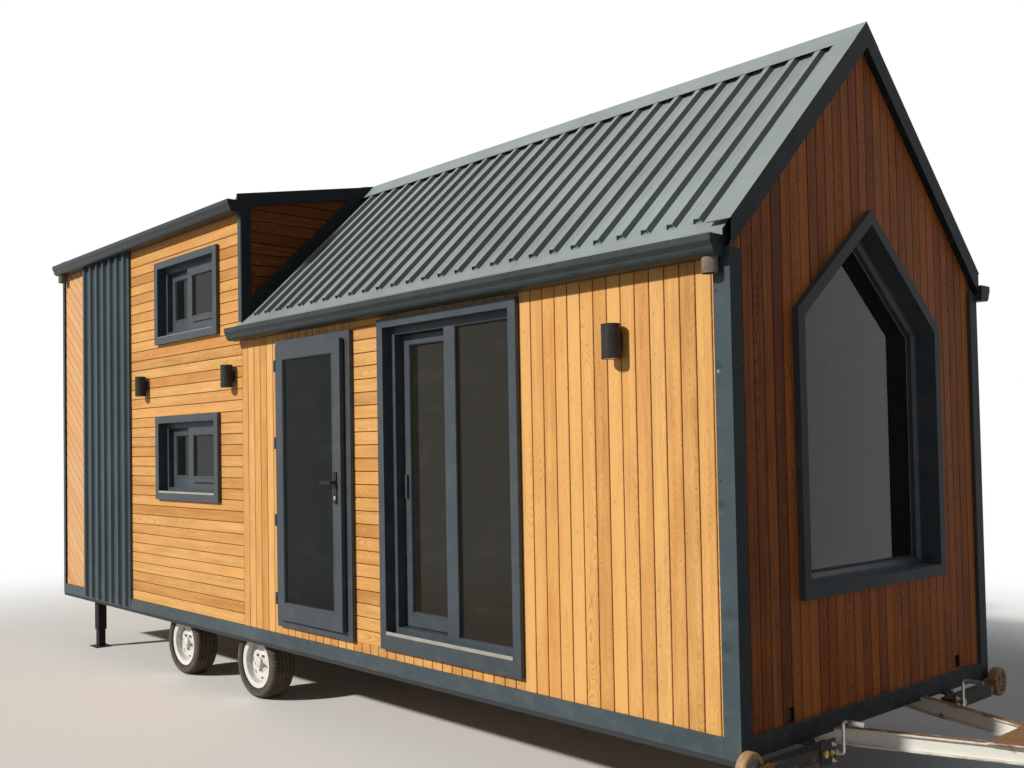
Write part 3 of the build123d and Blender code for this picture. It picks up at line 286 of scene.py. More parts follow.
def field(kind, output=0, settings=(), tree=None, **inputs):
    """An output of a new node, in the tree of the fields that go into it unless one is given.
    i0, i1 and so on are inputs by number."""
    if tree is None:
        tree = next(value.socket.id_data for value in inputs.values() if isinstance(value, Field))
    node = tree.nodes.new("ShaderNode" + kind)
    for name, value in dict(settings).items():
        setattr(node, name, value)
    for name, value in inputs.items():
        by_number = name[0] == "i" and name[1:].isdigit()
        put(value, node.inputs[int(name[1:]) if by_number else name.replace("_", " ")])
    return Field(node.outputs[output])


def surface(made, **inputs):
    """Fill inputs of a material's own shader."""
    for name, value in inputs.items():
        put(value, made.node_tree.nodes["Principled BSDF"].inputs[name.replace("_", " ")])
    return made


def material(name, roughness=0.5, metallic=0.0):
    made = bpy.data.materials.new(name)
    made.use_nodes = True
    return surface(made, Roughness=roughness, Metallic=metallic, Specular_IOR_Level=SHEEN_LEVEL)


def placed(name, roughness=0.5, metallic=0.0):
    """A new material, and the place on the object that its looks go by."""
    made = material(name, roughness, metallic)
    return made, field("TexCoord", "Object", tree=made.node_tree)


def ramp(value, *stops):
    """A colour ramp from (position, colour or grey) stops."""
    made = field("ValToRGB", i0=value)
    points = made.socket.node.color_ramp.elements
    while len(points) < len(stops):
        points.new(0.5)
    for point, (place, colour) in zip(points, stops):
        point.position = place
        point.color = (*colour, 1) if hasattr(colour, "__len__") else (colour, colour, colour, 1)
    return made


def mix(factor, a, b):
    """Colour a mixed with colour b."""
    return field("Mix", 2, {"data_type": "RGBA"}, i0=factor, i6=a, i7=b)


def parts_of(vector):
    """The three numbers of a place or colour."""
    first = field("SeparateXYZ", i0=vector)
    return [first.beside(number) for number in range(3)]


def joined(x, y, z=0.0):
    return field("CombineXYZ", i0=x, i1=y, i2=z)


def stretched(vector, scale):
    return field("Mapping", i0=vector, Scale=scale)


def noise(vector, scale=1.0, detail=3.0, roughness=0.5):
    return field("TexNoise", Vector=vector, Scale=scale, Detail=detail, Roughness=roughness)


def step(value, low, high):
    """0 below low, 1 above high, and a smooth change between."""
    return field("MapRange", settings={"interpolation_type": "SMOOTHSTEP"}, i0=value, i1=low, i2=high)


def bump(height, distance, strength=1.0, **below):
    """Relief from a height, over a finer relief if one is given as Normal."""
    return field("Bump", Strength=strength, Distance=distance, Height=height, **below)


def length_of(a, b):
    return (a * a + b * b).calc("SQRT")


def distance_to(first, second, centre):
    """Distance of two coordinates from a point, for marks round a wheel or a dent."""
    return length_of(first - centre[0], second - centre[1])


def tinted(colour, shares):
    return tuple(c * share for c, share in zip(colour, shares))


def spread(colour, share):
    """A colour made lighter, or darker with a negative share."""
    return tuple(min(1.0, c * (1 + share)) for c in colour)


def uneven(value, colour, darker, lighter):
    """A colour that drifts with a noise between a darker and a lighter tone of itself."""
    return ramp(value, (0.3, spread(colour, -darker)), (0.7, spread(colour, lighter)))


# Finishes

RING_WIDTH = 0.0068
KNOT_CELLS = 4.6
KNOT_SHARE = 0.42
WANDER = 0.16
SEED_SHIFT = 37.0
LATE_WOOD = ((0.0, 0.0), (0.45, 0.25), (0.84, 1.0), (0.93, 0.9), (1.0, 0.0))
BOARD_EDGE = (0.0135, 0.0212)


def stained_wood(name, light, dark, groove, contrast=1.0):
    """Oiled softwood boards, from each board's own grain and tone attributes."""
    made = material(name)
    grain = field("Attribute", "Vector", {"attribute_name": "grain"}, made.node_tree)
    board = field("Attribute", "Vector", {"attribute_name": "board"}, made.node_tree)
    along, across, deep = parts_of(grain)
    tone, hue, seed = parts_of(board)
    shift = seed * SEED_SHIFT
    wander = noise(joined(along * 1.3, shift), 1.0, 1.0) * WANDER - 0.08
    buried = noise(joined(along * 2.3, shift, 5.0), 1.0, 2.0) * WANDER - 0.05
    radius = length_of(across - wander, deep + buried)
    spot = joined(along, across * 1.3 + shift)
    knots = field("TexVoronoi", "Distance", {"voronoi_dimensions": "2D"}, Scale=KNOT_CELLS, Vector=spot)
    wanted = parts_of(knots.beside("Color"))[0].calc("LESS_THAN", KNOT_SHARE)
    away = knots + (wanted * -4.0 + 4.0)
    swirl = 1.0 - step(away, 0.0, 0.24)
    shaken = noise(stretched(grain, (5, 26, 26))) * 0.007 + (swirl * 0.034 + radius)
    late = ramp((shaken / RING_WIDTH).calc("FRACT"), *LATE_WOOD)
    fibre = noise(stretched(grain, (6, 300, 300)), 1.0, 2.0)
    streak = noise(joined(along * 1.6, across * 34.0, shift), 1.0, 5.0, 0.6)
    cloud = noise(joined(along * 3.0, across * 6.0, shift), 1.0, 2.0)
    figure = step((seed * 7.0).calc("FRACT"), 0.25, 1.0)
    patchy = step(noise(joined(along * 1.1, shift, 9.0), 1.0, 1.0), 0.38, 0.62)
    strength = figure * patchy * (0.55 * contrast) + 0.20 * contrast
    strength = step(swirl, 0.25, 0.8) * (0.45 * contrast) + strength
    drift = streak * 1.3 + cloud * 0.7 + tone * 0.34 - 0.87
    amount = (late - 0.4) * strength + (fibre * 0.5 - 0.07) + drift * contrast
    colour = mix(field("Clamp", i0=amount), light, dark)
    redder = mix(hue * 0.5 + 0.5, colour, tinted(dark, (1.5, 0.95, 0.6)))
    colour = mix(0.22, colour, redder)
    halo = step(away, 0.02, 0.05) - step(away, 0.06, 0.13)
    colour = mix(halo * 0.25, colour, light)
    core = 1.0 - step(away, 0.010, 0.074)
    colour = mix(core * 0.30, colour, tinted(dark, (0.68, 0.55, 0.5)))
    colour = mix(step(deep, *BOARD_EDGE), groove, colour)
    relief = bump(late * 0.6 + fibre, 0.0006, 0.7)
    return surface(made, Base_Color=colour, Roughness=late * -0.1 + 0.56, Normal=relief)


TIMBER_PITCH = 0.12


def plain_timber(name, light, dark):
    """Planed inner timber: grain along the house, with board lines."""
    made, place = placed(name, 0.55)
    y, z = parts_of(place)[1:]
    streak = noise(stretched(place, (1.5, 26, 26)), 1.0, 5.0, 0.6)
    fibre = noise(stretched(place, (9, 300, 300)), 1.0, 2.0)
    colour = ramp(streak, (0.3, dark), (0.68, light))
    colour = mix(fibre * 0.3, colour, spread(dark, -0.3))
    joint = ((z + y) / TIMBER_PITCH).calc("FRACT").calc("LESS_THAN", 0.03)
    colour = mix(joint * 0.6, colour, spread(dark, -0.6))
    return surface(made, Base_Color=colour, Normal=bump(fibre, 0.0005, 0.4))


DENT_DEPTH = 1.1
CORNER_DENTS = ((2.967, 1.518, 0.042), (2.994, 1.054, 0.052), (2.980, 0.908, 0.048), (2.973, 2.120, 0.026))
SPLASH_HEIGHTS = (0.40, 1.1)


def sheet_metal(
    name, colour, roughness=0.42, wave=0.004, dust=(0.30, 0.28, 0.24), dust_share=0.05, grit=0.0, dents=(),
):
    """Coated sheet: slow tone changes, rain streaks, oil-canning, and dust that gathers low down."""
    made, place = placed(name, roughness)
    x, y, z = parts_of(place)
    rain = noise(stretched(place, (16, 16, 0.9)), 1.0, 4.0, 0.6)
    patch = noise(place, 9.0, 6.0, 0.7)
    tone = uneven(noise(place, 1.3, 4.0, 0.6), colour, 0.16, 0.16)
    tone = mix(step(rain, 0.5, 0.75) * 0.12, tone, spread(colour, 0.5))
    low = 1.0 - step(z, *SPLASH_HEIGHTS)
    tone = mix(step(patch, 0.42, 0.72) * (low * (dust_share * 2) + dust_share), tone, dust)
    if grit:
        speck = step(noise(place, 60.0, 4.0, 0.8), 0.56, 0.66)
        tone = mix(speck * grit, tone, dust)
    swell = noise(stretched(place, (2.0, 2.0, 1.2)), 1.6, 2.0)
    for across, up, size in dents:
        hollow = 1.0 - step(distance_to(x, z, (across, up)), 0.0, size)
        hollow = hollow * y.calc("LESS_THAN", 0.0)
        swell = hollow * -DENT_DEPTH + swell
        # The dent's colour is darkened too: painted shade in the hollow.
        tone = mix(hollow * 0.35, tone, spread(colour, -0.35))
    fine = bump(noise(place, 160.0, 2.0), 0.0006, 0.25)
    relief = bump(swell, wave, Normal=fine)
    return surface(made, Base_Color=tone, Roughness=patch * 0.3 + (roughness - 0.13), Normal=relief)


DUST = (0.36, 0.32, 0.27)


def coated(name, colour, roughness=0.4, share=0.14, scale=6.0, dust=DUST, dust_share=0.14, metallic=0.0):
    """Powder-coated or cast metal, or moulded plastic, with fine orange-peel and a little dust."""
    made, place = placed(name, roughness, metallic)
    patch = noise(place, scale * 4, 6.0, 0.7)
    tone = uneven(noise(place, scale, 4.0, 0.6), colour, share, share)
    tone = mix(step(patch, 0.45, 0.75) * dust_share, tone, dust)
    relief = bump(noise(place, 260.0, 2.0), 0.0005, 0.3)
    return surface(made, Base_Color=tone, Roughness=patch * 0.25 + (roughness - 0.1), Normal=relief)


ZINC = (0.56, 0.56, 0.55)
BLOOM = (0.52, 0.50, 0.46)


def galvanised(name):
    """Zinc with its crystal pattern and dull white patches."""
    made, place = placed(name, 0.38, 0.75)
    grey = parts_of(field("TexVoronoi", "Color", Vector=place, Scale=70.0))[0]
    tone = ramp(grey, (0.0, spread(ZINC, -0.22)), (1.0, spread(ZINC, 0.12)))
    bloom = step(noise(place, 7.0, 5.0, 0.7), 0.5, 0.72)
    tone = mix(bloom * 0.5, tone, BLOOM)
    return surface(made, Base_Color=tone, Roughness=bloom * 0.3 + 0.38, Normal=bump(grey, 0.0003, 0.3))


RUST = ((0.3, (0.16, 0.062, 0.024)), (0.7, (0.42, 0.24, 0.11)))


def rusty_steel(name, colour, cover):
    """Bare or painted steel gone brown over the given share of its surface."""
    made, place = placed(name, 0.7, 0.1)
    patch = noise(place, 12.0, 8.0, 0.7)
    edge = 0.72 - 0.45 * cover
    tone = mix(step(patch, edge, edge + 0.12), colour, ramp(noise(place, 40.0, 5.0, 0.7), *RUST))
    return surface(made, Base_Color=tone, Normal=bump(patch, 0.001, 0.6))


def drawbar_paint(name, colour, top):
    """White paint with rust patches on the web, and a top flange that has lost most of its paint."""
    made, place = placed(name)
    z = parts_of(place)[2]
    patch = noise(stretched(place, (4.5, 4.5, 9.0)), 1.0, 8.0, 0.66)
    fine = noise(place, 55.0, 5.0, 0.7)
    upward = parts_of(field("NewGeometry", "Normal", tree=made.node_tree))[2]
    flange = step(z, top - 0.006, top - 0.002) * step(upward, 0.5, 0.9)
    edges = step(z, top - 0.012, top - 0.006) + (1.0 - step(z, top - 0.078, top - 0.070))
    paint = uneven(noise(place, 3.0, 5.0, 0.6), colour, 0.12, 0)
    rust = step(patch, 0.59, 0.66).calc("MAXIMUM", edges * step(patch, 0.46, 0.60))
    rust = rust.calc("MAXIMUM", flange * step(patch, 0.34, 0.44))
    relief = bump(rust * -0.6 + fine, 0.0008, 0.4)
    colour = mix(rust, paint, ramp(fine, *RUST))
    return surface(made, Base_Color=colour, Roughness=rust * 0.35 + 0.45, Normal=relief)


RIM_SILVER = (0.93, 0.93, 0.90)
RIM_DUST = (0.20, 0.165, 0.125)
RIM_DUST_RINGS = ((0.0, 0.1), (0.24, 0.42), (0.4, 0.12), (0.6, 0.15), (0.71, 0.7), (0.76, 0.1), (0.9, 0.05))
NUT_FACE = (1.1085, 1.1095)
NUT_ZINC = (0.16, 0.15, 0.14)


def rim_paint(name, centre):
    """Silver wheel paint, dusty round the hub and in the barrel, with dull zinc nuts."""
    made, place = placed(name, 0.42, 0.15)
    x, y, z = parts_of(place)
    reach = distance_to(x, z, centre)
    patch = noise(place, 18.0, 6.0, 0.7)
    tone = uneven(noise(place, 8.0, 4.0), RIM_SILVER, 0.1, 0)
    amount = ramp(reach * 5.0, *RIM_DUST_RINGS) * (patch * 1.4 - 0.1)
    nut = step(abs(y), *NUT_FACE) * step(reach, 0.044, 0.046) * (1.0 - step(reach, 0.07, 0.071))
    tone = mix(nut, mix(amount, tone, RIM_DUST), NUT_ZINC)
    return surface(made, Base_Color=tone, Roughness=amount * 0.4 + 0.36, Normal=bump(patch, 0.0004, 0.3))


RUBBER = (0.034, 0.032, 0.032)
ROAD_DUST = (0.30, 0.25, 0.19)


def tyre_rubber(name, centre, tread_radius):
    """Road-dusty rubber: paler on the tread and shoulder, dark in the grooves."""
    made, place = placed(name, 0.85)
    x, y, z = parts_of(place)
    reach = distance_to(x, z, centre)
    patch = noise(place, 14.0, 7.0, 0.7)
    tread = step(reach, tread_radius - 0.006, tread_radius - 0.001)
    dust = step(reach, 0.19, 0.235) * 0.40 + tread * 0.25
    dust = (dust + 0.18) * (patch * 1.5 - 0.1)
    relief = bump(noise(place, 320.0, 2.0), 0.0005, 0.5)
    return surface(made, Base_Color=mix(dust, RUBBER, ROAD_DUST), Normal=relief)


JACK_HUB = (0.0535, 0.0545)


def jack_wheel(name, centre):
    """Tan rubber tyre on a grey pressed hub, told apart by the distance from the pin."""
    made, place = placed(name, 0.7)
    y, z = parts_of(place)[1:]
    reach = distance_to(abs(y), z, centre)
    patch = noise(place, 30.0, 6.0, 0.7)
    rubber = ramp(patch, (0.3, (0.34, 0.19, 0.09)), (0.7, (0.56, 0.37, 0.21)))
    metal = ramp(patch, (0.3, (0.22, 0.22, 0.23)), (0.7, (0.46, 0.46, 0.46)))
    colour = mix(step(reach, *JACK_HUB), metal, rubber)
    return surface(made, Base_Color=colour, Normal=bump(patch, 0.001, 0.5))


def pane_glass(name, tint=(0.012, 0.016, 0.014), cover=0.72, sheen=0.3):
    """Tinted glass that lets part of the light straight through, with faint wipe marks."""
    made, place = placed(name, 0.02)
    smear = step(noise(stretched(place, (1.0, 1.0, 2.5)), 3.0, 5.0, 0.7), 0.5, 0.8)
    surface(made, Specular_IOR_Level=sheen, Alpha=smear * 0.12 + cover, Roughness=smear * 0.04 + 0.015)
    return surface(made, Base_Color=mix(smear * 0.035, tint, (0.35, 0.33, 0.29)))


SIDE_WOOD = ((0.86, 0.50, 0.178), (0.50, 0.240, 0.067), (0.38, 0.160, 0.045))
STRIP_WOOD = ((0.79, 0.50, 0.255), (0.62, 0.33, 0.140), (0.52, 0.25, 0.09))
# The gable boards are a darker, redder copy of the side boards' stain: painted shade, used on both gables and
# the dormer cheeks.
GABLE_SHADE_WOOD = ((0.49, 0.160, 0.042), (0.135, 0.040, 0.012), (0.030, 0.012, 0.007))
SLATE = (0.058, 0.084, 0.100)
# The verge's slate is the trims' paint made near black: painted shade on the verge trims, and on the deck's
# faces in the gap at the front corner.
VERGE_SHADE_SLATE = (0.013, 0.018, 0.022)
GUTTER_SLATE = (0.033, 0.045, 0.047)
# The roof's grey is the trims' slate paint made much lighter: painted light on the slopes that face up to the
# sun.
ROOF_LIT_GREY = (0.272, 0.320, 0.332)
ROOF_DUST = (0.33, 0.33, 0.30)
RIB_SIDE_SHADE_GREY = (0.074, 0.090, 0.096)
# These two are the slate and frame paints made darker: painted shade on the faces that look to the front.
SHADE_SLATE = (0.022, 0.030, 0.036)
SHADE_FRAME = (0.034, 0.041, 0.048)
FRAME_GREY = (0.064, 0.080, 0.097)
DULL = 0.06

side_wood = stained_wood("side_boards_wood", *SIDE_WOOD)
strip_wood = stained_wood("strip_boards_wood", *STRIP_WOOD, 0.8)
gable_shade_wood = stained_wood("gable_boards_shade_wood", *GABLE_SHADE_WOOD, 1.2)
roof_lit_coat = sheet_metal("roof_lit_coat", ROOF_LIT_GREY, 0.5, 0.0025, ROOF_DUST, 0.07, grit=0.07)
rib_side_shade_coat = sheet_metal("rib_side_shade_coat", RIB_SIDE_SHADE_GREY, 0.55, 0.001, dust_share=0.03)
shade_slate_coat = sheet_metal("shade_slate_coat", SHADE_SLATE, 0.5)
shade_frame_coat = coated("shade_frame_coat", SHADE_FRAME, 0.45, 0.08, 2.0, dust_share=0.06)
verge_shade_coat = sheet_metal("verge_shade_coat", VERGE_SHADE_SLATE, 0.6, 0.003)
corner_coat = sheet_metal("corner_coat", SLATE, 0.36, 0.005, dents=CORNER_DENTS)
gutter_coat = sheet_metal("gutter_coat", GUTTER_SLATE, 0.38, 0.002)
chassis_coat = rusty_steel("chassis_coat", (0.045, 0.047, 0.05), 0.25)
jack_coat = rusty_steel("jack_coat", (0.036, 0.035, 0.034), 0.34)
for dull in (gable_shade_wood, shade_slate_coat, shade_frame_coat):
    surface(dull, Specular_IOR_Level=DULL)
surface(verge_shade_coat, Specular_IOR_Level=0.1)
black_gasket = coated("black_gasket", (0.012, 0.012, 0.013), 0.6, dust_share=0.06)
yellow_zinc = coated("yellow_zinc", (0.62, 0.44, 0.10), 0.35, metallic=0.7, dust_share=0.1)
silver_zinc = coated("silver_zinc", (0.60, 0.60, 0.59), 0.32, metallic=0.8, dust_share=0.1)
crank_grip = coated("crank_grip", (0.33, 0.33, 0.34), 0.55)
pale_sill = coated("pale_sill", (0.42, 0.41, 0.38), 0.5, 0.2, 9.0, (0.30, 0.26, 0.20), 0.5)
# A pale strip on the gable window's lit edges: painted highlight.
lit_edge_strip = coated("lit_edge_strip", (0.40, 0.33, 0.25), 0.4)
light_lens = coated("light_lens", (0.78, 0.77, 0.72), 0.35, 0.05)
bare_arm = rusty_steel("bare_arm", (0.28, 0.24, 0.20), 0.75)
entrance_glass = pane_glass("entrance_tinted_glass", (0.010, 0.013, 0.014), 0.74, 0.13)
patio_glass = pane_glass("patio_tinted_glass", (0.026, 0.023, 0.015), 0.66)

DRAWBAR_WHITE = (0.86, 0.85, 0.80)
FLANGE_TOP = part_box("drawbar")[1].z - 0.008
OUTLET_LOOKS = ((0.22, 0.185, 0.155), 0.6, 0.35, 30.0, (0.055, 0.036, 0.028), 0.9)

FINISHES = {
    "inner_timber": plain_timber("inner_timber_wood", (0.66, 0.47, 0.29), (0.50, 0.33, 0.18)),
    "stained_boards": side_wood,
    "slate_sheet": sheet_metal("slate_coat", SLATE),
    "dark_frames": coated("frame_coat", FRAME_GREY, 0.38, 0.08, 2.0, dust_share=0.10),
    "window_panes": pane_glass("tinted_glass"),
    "door_handles": coated("handle_black", (0.016, 0.016, 0.017), 0.35, dust_share=0.05),
    "light_housing": coated("light_black", (0.022, 0.022, 0.024), 0.5, dust_share=0.08),
    "galvanised_steel": galvanised("zinc_coat"),
    "axle_steel": rusty_steel("axle_coat", (0.055, 0.052, 0.05), 0.35),
    "black_steel": rusty_steel("black_coat", (0.022, 0.022, 0.024), 0.16),
    "drawbar_paint": drawbar_paint("drawbar_white", DRAWBAR_WHITE, FLANGE_TOP),
    "cast_fitting": rusty_steel("cast_coat", (0.10, 0.10, 0.105), 0.2),
    "outlet_plastic": coated("outlet_grey", *OUTLET_LOOKS),
}


def node_centre(node):
    low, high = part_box(node)
    return (low + high) / 2


def dress_nodes():
    """Every CAD node gets its slot's finish, or a finish of its own."""
    own = dict.fromkeys(("roof_sheeting", "ridge_cap", "eave_flashings"), roof_lit_coat)
    own.update(dict.fromkeys(("right_corner_jack", "left_corner_jack", "jack_brackets"), jack_coat))
    own.update(corner_trims=corner_coat, verge_trims=verge_shade_coat, gutters=gutter_coat)
    own.update(chassis_frame=chassis_coat, entrance_glass=entrance_glass, patio_sash_glass=patio_glass)
    for row in ("front", "rear"):
        centre = node_centre(f"right_{row}_rim")
        paint = rim_paint(f"rim_paint_{row}", (centre.x, centre.z))
        for side in ("right", "left"):
            own[f"{side}_{row}_rim"] = paint
    centre = node_centre("left_jack_wheel")
    own["left_jack_wheel"] = own["right_jack_wheel"] = jack_wheel("jack_wheel_tan", (centre.y, centre.z))
    for name, node in nodes.items():
        for held in node.material_slots:
            found = [slot for slot in FINISHES if held.material and held.material.name.startswith(slot)]
            if name in own:
                held.material = own[name]
            elif found:
                held.material = FINISHES[found[0]]


def repaint(name, finish, wanted):
    """The faces of a CAD node whose middle and normal pass the test get another finish."""
    mesh = nodes[name].data
    mesh.materials.append(finish)
    number = len(mesh.materials) - 1
    for face in mesh.polygons:
        if wanted(face.center, face.normal):
            face.material_index = number


FLANGE_DROP = 0.02
UPWARD = 0.5
FORWARD = 0.7
RIB_SIDE = 0.3
FIXED_PANEL = (1.0, 2.0)


def on_top(c, n):
    """True for the faces of a trim that lie on the roof's own surface."""
    pitch = DORMER_PITCH if c.x < DORMER_FRONT + 0.1 else MAIN_PITCH
    return n.z > UPWARD and c.z > roof_z(c.y, FLANGE_DROP, pitch)


def to_front(c, n):
    """True for the faces that look to the front, which lie in the shade and take darker coats: painted shade.
    """
    return n.x > FORWARD


dress_nodes()
# The steep sides of every rib take a much darker copy of the roof paint: painted shade on both sides of each
# rib.
repaint("roof_sheeting", rib_side_shade_coat, lambda c, n: abs(n.x) > RIB_SIDE)
# The verge trims' faces that lie on the roof take the lighter roof coat: painted light on faces that look up.
repaint("verge_trims", roof_lit_coat, on_top)
# Faces that look to the front take darker copies of their paint: painted shade.
for shaded in ("corner_trims", "bottom_skirt", "gutters"):
    repaint(shaded, shade_slate_coat, to_front)
repaint("gable_window_surround", shade_frame_coat, to_front)
repaint("window_glass", patio_glass, lambda c, n: FIXED_PANEL[0] < c.x < FIXED_PANEL[1])


# Boards

BOARD_PITCH = 0.082
BOARD_THICKNESS = 0.022
BOARD_SECTION = (
    (0.0, 0.0195), (0.0025, 0.022), (0.0745, 0.022), (0.077, 0.0195), (0.077, 0.012), (0.082, 0.012),
)
LEAST_STRIP = 0.0008
LEAST_LENGTH = 0.002
MOST_SINK = 0.0009
DARK_SHARE = 0.1
SKEW = math.radians(40)
NEXT_TO = 1e-5


def crossing(corners, v):
    """Where the line at v enters and leaves a convex outline of (u, v) corners, or None."""
    places = []
    for (u0, v0), (u1, v1) in zip(corners, corners[1:] + corners[:1]):
        if (v0 - v) * (v1 - v) < 0:
            places.append(u0 + (u1 - u0) * (v - v0) / (v1 - v0))
    return (min(places), max(places)) if places else None


def runs_at(corners, holes, v):
    """The stretches of a board line inside the outline and outside the holes."""
    outer = crossing(corners, v)
    runs = [outer] if outer else []
    for hole in holes:
        cut = crossing(hole, v)
        if cut:
            halves = [((low, min(high, cut[0])), (max(low, cut[1]), high)) for low, high in runs]
            runs = [part for pair in halves for part in pair if part[1] > part[0]]
    return runs


def section_between(low, high):
    """The board's section between two places across it, as (across, out) points."""
    kept = [point for point in BOARD_SECTION if low < point[0] < high]
    for place, at_start in ((low, True), (high, False)):
        for (v0, d0), (v1, d1) in zip(BOARD_SECTION, BOARD_SECTION[1:]):
            inside = v0 <= place < v1 if at_start else v0 < place <= v1
            if inside:
                point = (place, d0 + (d1 - d0) * (place - v0) / (v1 - v0))
                kept = [point] + kept if at_start else kept + [point]
    return kept + [(high, 0.0), (low, 0.0)]


def clad(solids, place, corners, holes=(), tone=0.0):
    """Boards side by side over an outline. place(u, v, d) gives the point d out from the wall."""
    low = min(v for _, v in corners)
    high = max(v for _, v in corners)
    breaks = sorted({v for outline in (corners, *holes) for _, v in outline})
    for number in range(math.ceil((high - low) / BOARD_PITCH - 1e-6)):
        foot = low + number * BOARD_PITCH
        shift = random.uniform(0, 30)
        darkness = tone + random.triangular(-1, 1) + (random.random() < DARK_SHARE)
        looks = (darkness, random.uniform(-1, 1), random.random())
        sink = random.uniform(0, MOST_SINK)
        top = min(foot + BOARD_PITCH, high)
        edges = [foot] + [v for v in breaks if foot < v < top] + [top]
        for near, far in zip(edges, edges[1:]):
            first = runs_at(corners, holes, near + NEXT_TO)
            last = runs_at(corners, holes, far - NEXT_TO)
            if far - near < LEAST_STRIP or len(first) != len(last):
                continue
            section = section_between(near - foot, far - foot)
            for one, two in zip(first, last):
                if max(one[1] - one[0], two[1] - two[0]) < LEAST_LENGTH:
                    continue
                loops, grain = [], []
                for end in (0, 1):
                    loop = []
                    for across, out in section:
                        share = (across - near + foot) / (far - near)
                        u = one[end] + (two[end] - one[end]) * share
                        loop.append(place(u, foot + across, out - sink if out else 0.0))
                        grain.append((u + shift, across - BOARD_PITCH / 2, out))
                    loops.append(loop)
                solids.loft(*loops, grain=grain, board=[looks] * len(grain))


def upright(side):
    """Place on a long side for boards that stand: u is the height, v runs along the house."""
    return lambda u, v, d: (v, side * (CORE_FACE + d), u)


def level(side):
    """Place on a long side for boards that lie: u runs along the house, v is the height."""
    return lambda u, v, d: (u, side * (CORE_FACE + d), v)


def skewed(side):
    """Place on a long side for slanting boards, which fall towards the front."""
    def place(u, v, d):
        x = u * math.cos(SKEW) + v * math.sin(SKEW)
        z = -u * math.sin(SKEW) + v * math.cos(SKEW)
        return (x, side * (CORE_FACE + d), z)
    return place


def skewed_rect(x, z):
    """A rectangle of the wall in the slanting boards' own directions."""
    corners = []
    for a, b in rect(x, z):
        corners.append((a * math.cos(SKEW) - b * math.sin(SKEW), a * math.sin(SKEW) + b * math.cos(SKEW)))
    return corners


panels_low, panels_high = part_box("ribbed_panels")
door_low, door_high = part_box("entrance_frame")
patio_low, patio_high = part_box("patio_frame")
windows_low, windows_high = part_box("small_window_surrounds")
PANEL = (panels_low.x, panels_high.x)
DOOR = (door_low.x, door_high.x)
DOOR_SILL = door_low.z
DOOR_TOP = door_high.z
PATIO = (patio_low.x, patio_high.x)
PATIO_TOP = patio_high.z
WINDOWS = (windows_low.x, windows_high.x)
WINDOW_HEIGHT = 0.680
WINDOW_SILLS = (windows_low.z, windows_high.z - WINDOW_HEIGHT)
LEVEL_END = DORMER_FRONT - 0.021
LEVEL_TONE = 0.25
# The cheek boards are pushed darker still: painted shade.
CHEEK_SHADE_TONE = 1.5


def side_boards():
    """Both long sides: slanting, lying and standing boards in the zones of the photograph."""
    right, left, strips = Solids(), Solids(), Solids()
    window_holes = [rect(WINDOWS, (sill, sill + WINDOW_HEIGHT)) for sill in WINDOW_SILLS]
    tall = (CLAD_FOOT, DORMER_CLAD_TOP)
    short = (CLAD_FOOT, MAIN_CLAD_TOP)
    clad(right, level(-1), rect((PANEL[1], LEVEL_END), tall), window_holes, LEVEL_TONE)
    clad(right, upright(-1), rect(short, (LEVEL_END, DOOR[0])))
    clad(right, upright(-1), rect((CLAD_FOOT, DOOR_SILL), (DOOR[0], PATIO[1])))
    clad(right, upright(-1), rect((DOOR_TOP, MAIN_CLAD_TOP), DOOR))
    clad(right, level(-1), rect((DOOR[1], PATIO[0]), (DOOR_SILL, MAIN_CLAD_TOP)), tone=LEVEL_TONE)
    clad(right, upright(-1), rect((PATIO_TOP, MAIN_CLAD_TOP), PATIO))
    clad(right, upright(-1), rect(short, (PATIO[1], clad_high.x)))
    clad(left, level(1), rect((PANEL[1], LEVEL_END), tall), tone=LEVEL_TONE)
    clad(left, upright(1), rect(short, (LEVEL_END, clad_high.x)))
    for side in (-1, 1):
        clad(strips, skewed(side), skewed_rect((clad_low.x, PANEL[0]), tall))
    for name, solids, finish in (
        ("right_side", right, side_wood), ("left_side", left, side_wood), ("rear_strip", strips, strip_wood),
    ):
        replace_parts(make(f"{name}_boards", solids, finish), "side_cladding")


surround_low, surround_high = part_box("gable_window_surround")
WINDOW_HALF = surround_high.y
WINDOW_SILL = surround_low.z
WINDOW_APEX = surround_high.z
WINDOW_SHOULDER = 2.413
VENT_HALF = 0.033
VENTS = ((-0.824, 0.578), (0.895, 0.584))


def gable_window(inset):
    """Outline of the gable window moved in by inset, as (y, z) corners."""
    slope = math.atan2(WINDOW_APEX - WINDOW_SHOULDER, WINDOW_HALF)
    half = WINDOW_HALF - inset
    apex = WINDOW_APEX - inset / math.cos(slope)
    shoulder = apex - half * math.tan(slope)
    sill = WINDOW_SILL + inset
    return [(-half, sill), (-half, shoulder), (0, apex), (half, shoulder), (half, sill)]


def gable_outline(pitch):
    """Outline of a gable's boards with the height first, for boards that stand."""
    half = CORE_FACE
    eave = roof_z(half, DECK_UNDER_DROP, pitch)
    ridge = roof_z(0, DECK_UNDER_DROP, pitch)
    return [(CLAD_FOOT, -half), (eave, -half), (ridge, 0), (eave, half), (CLAD_FOOT, half)]


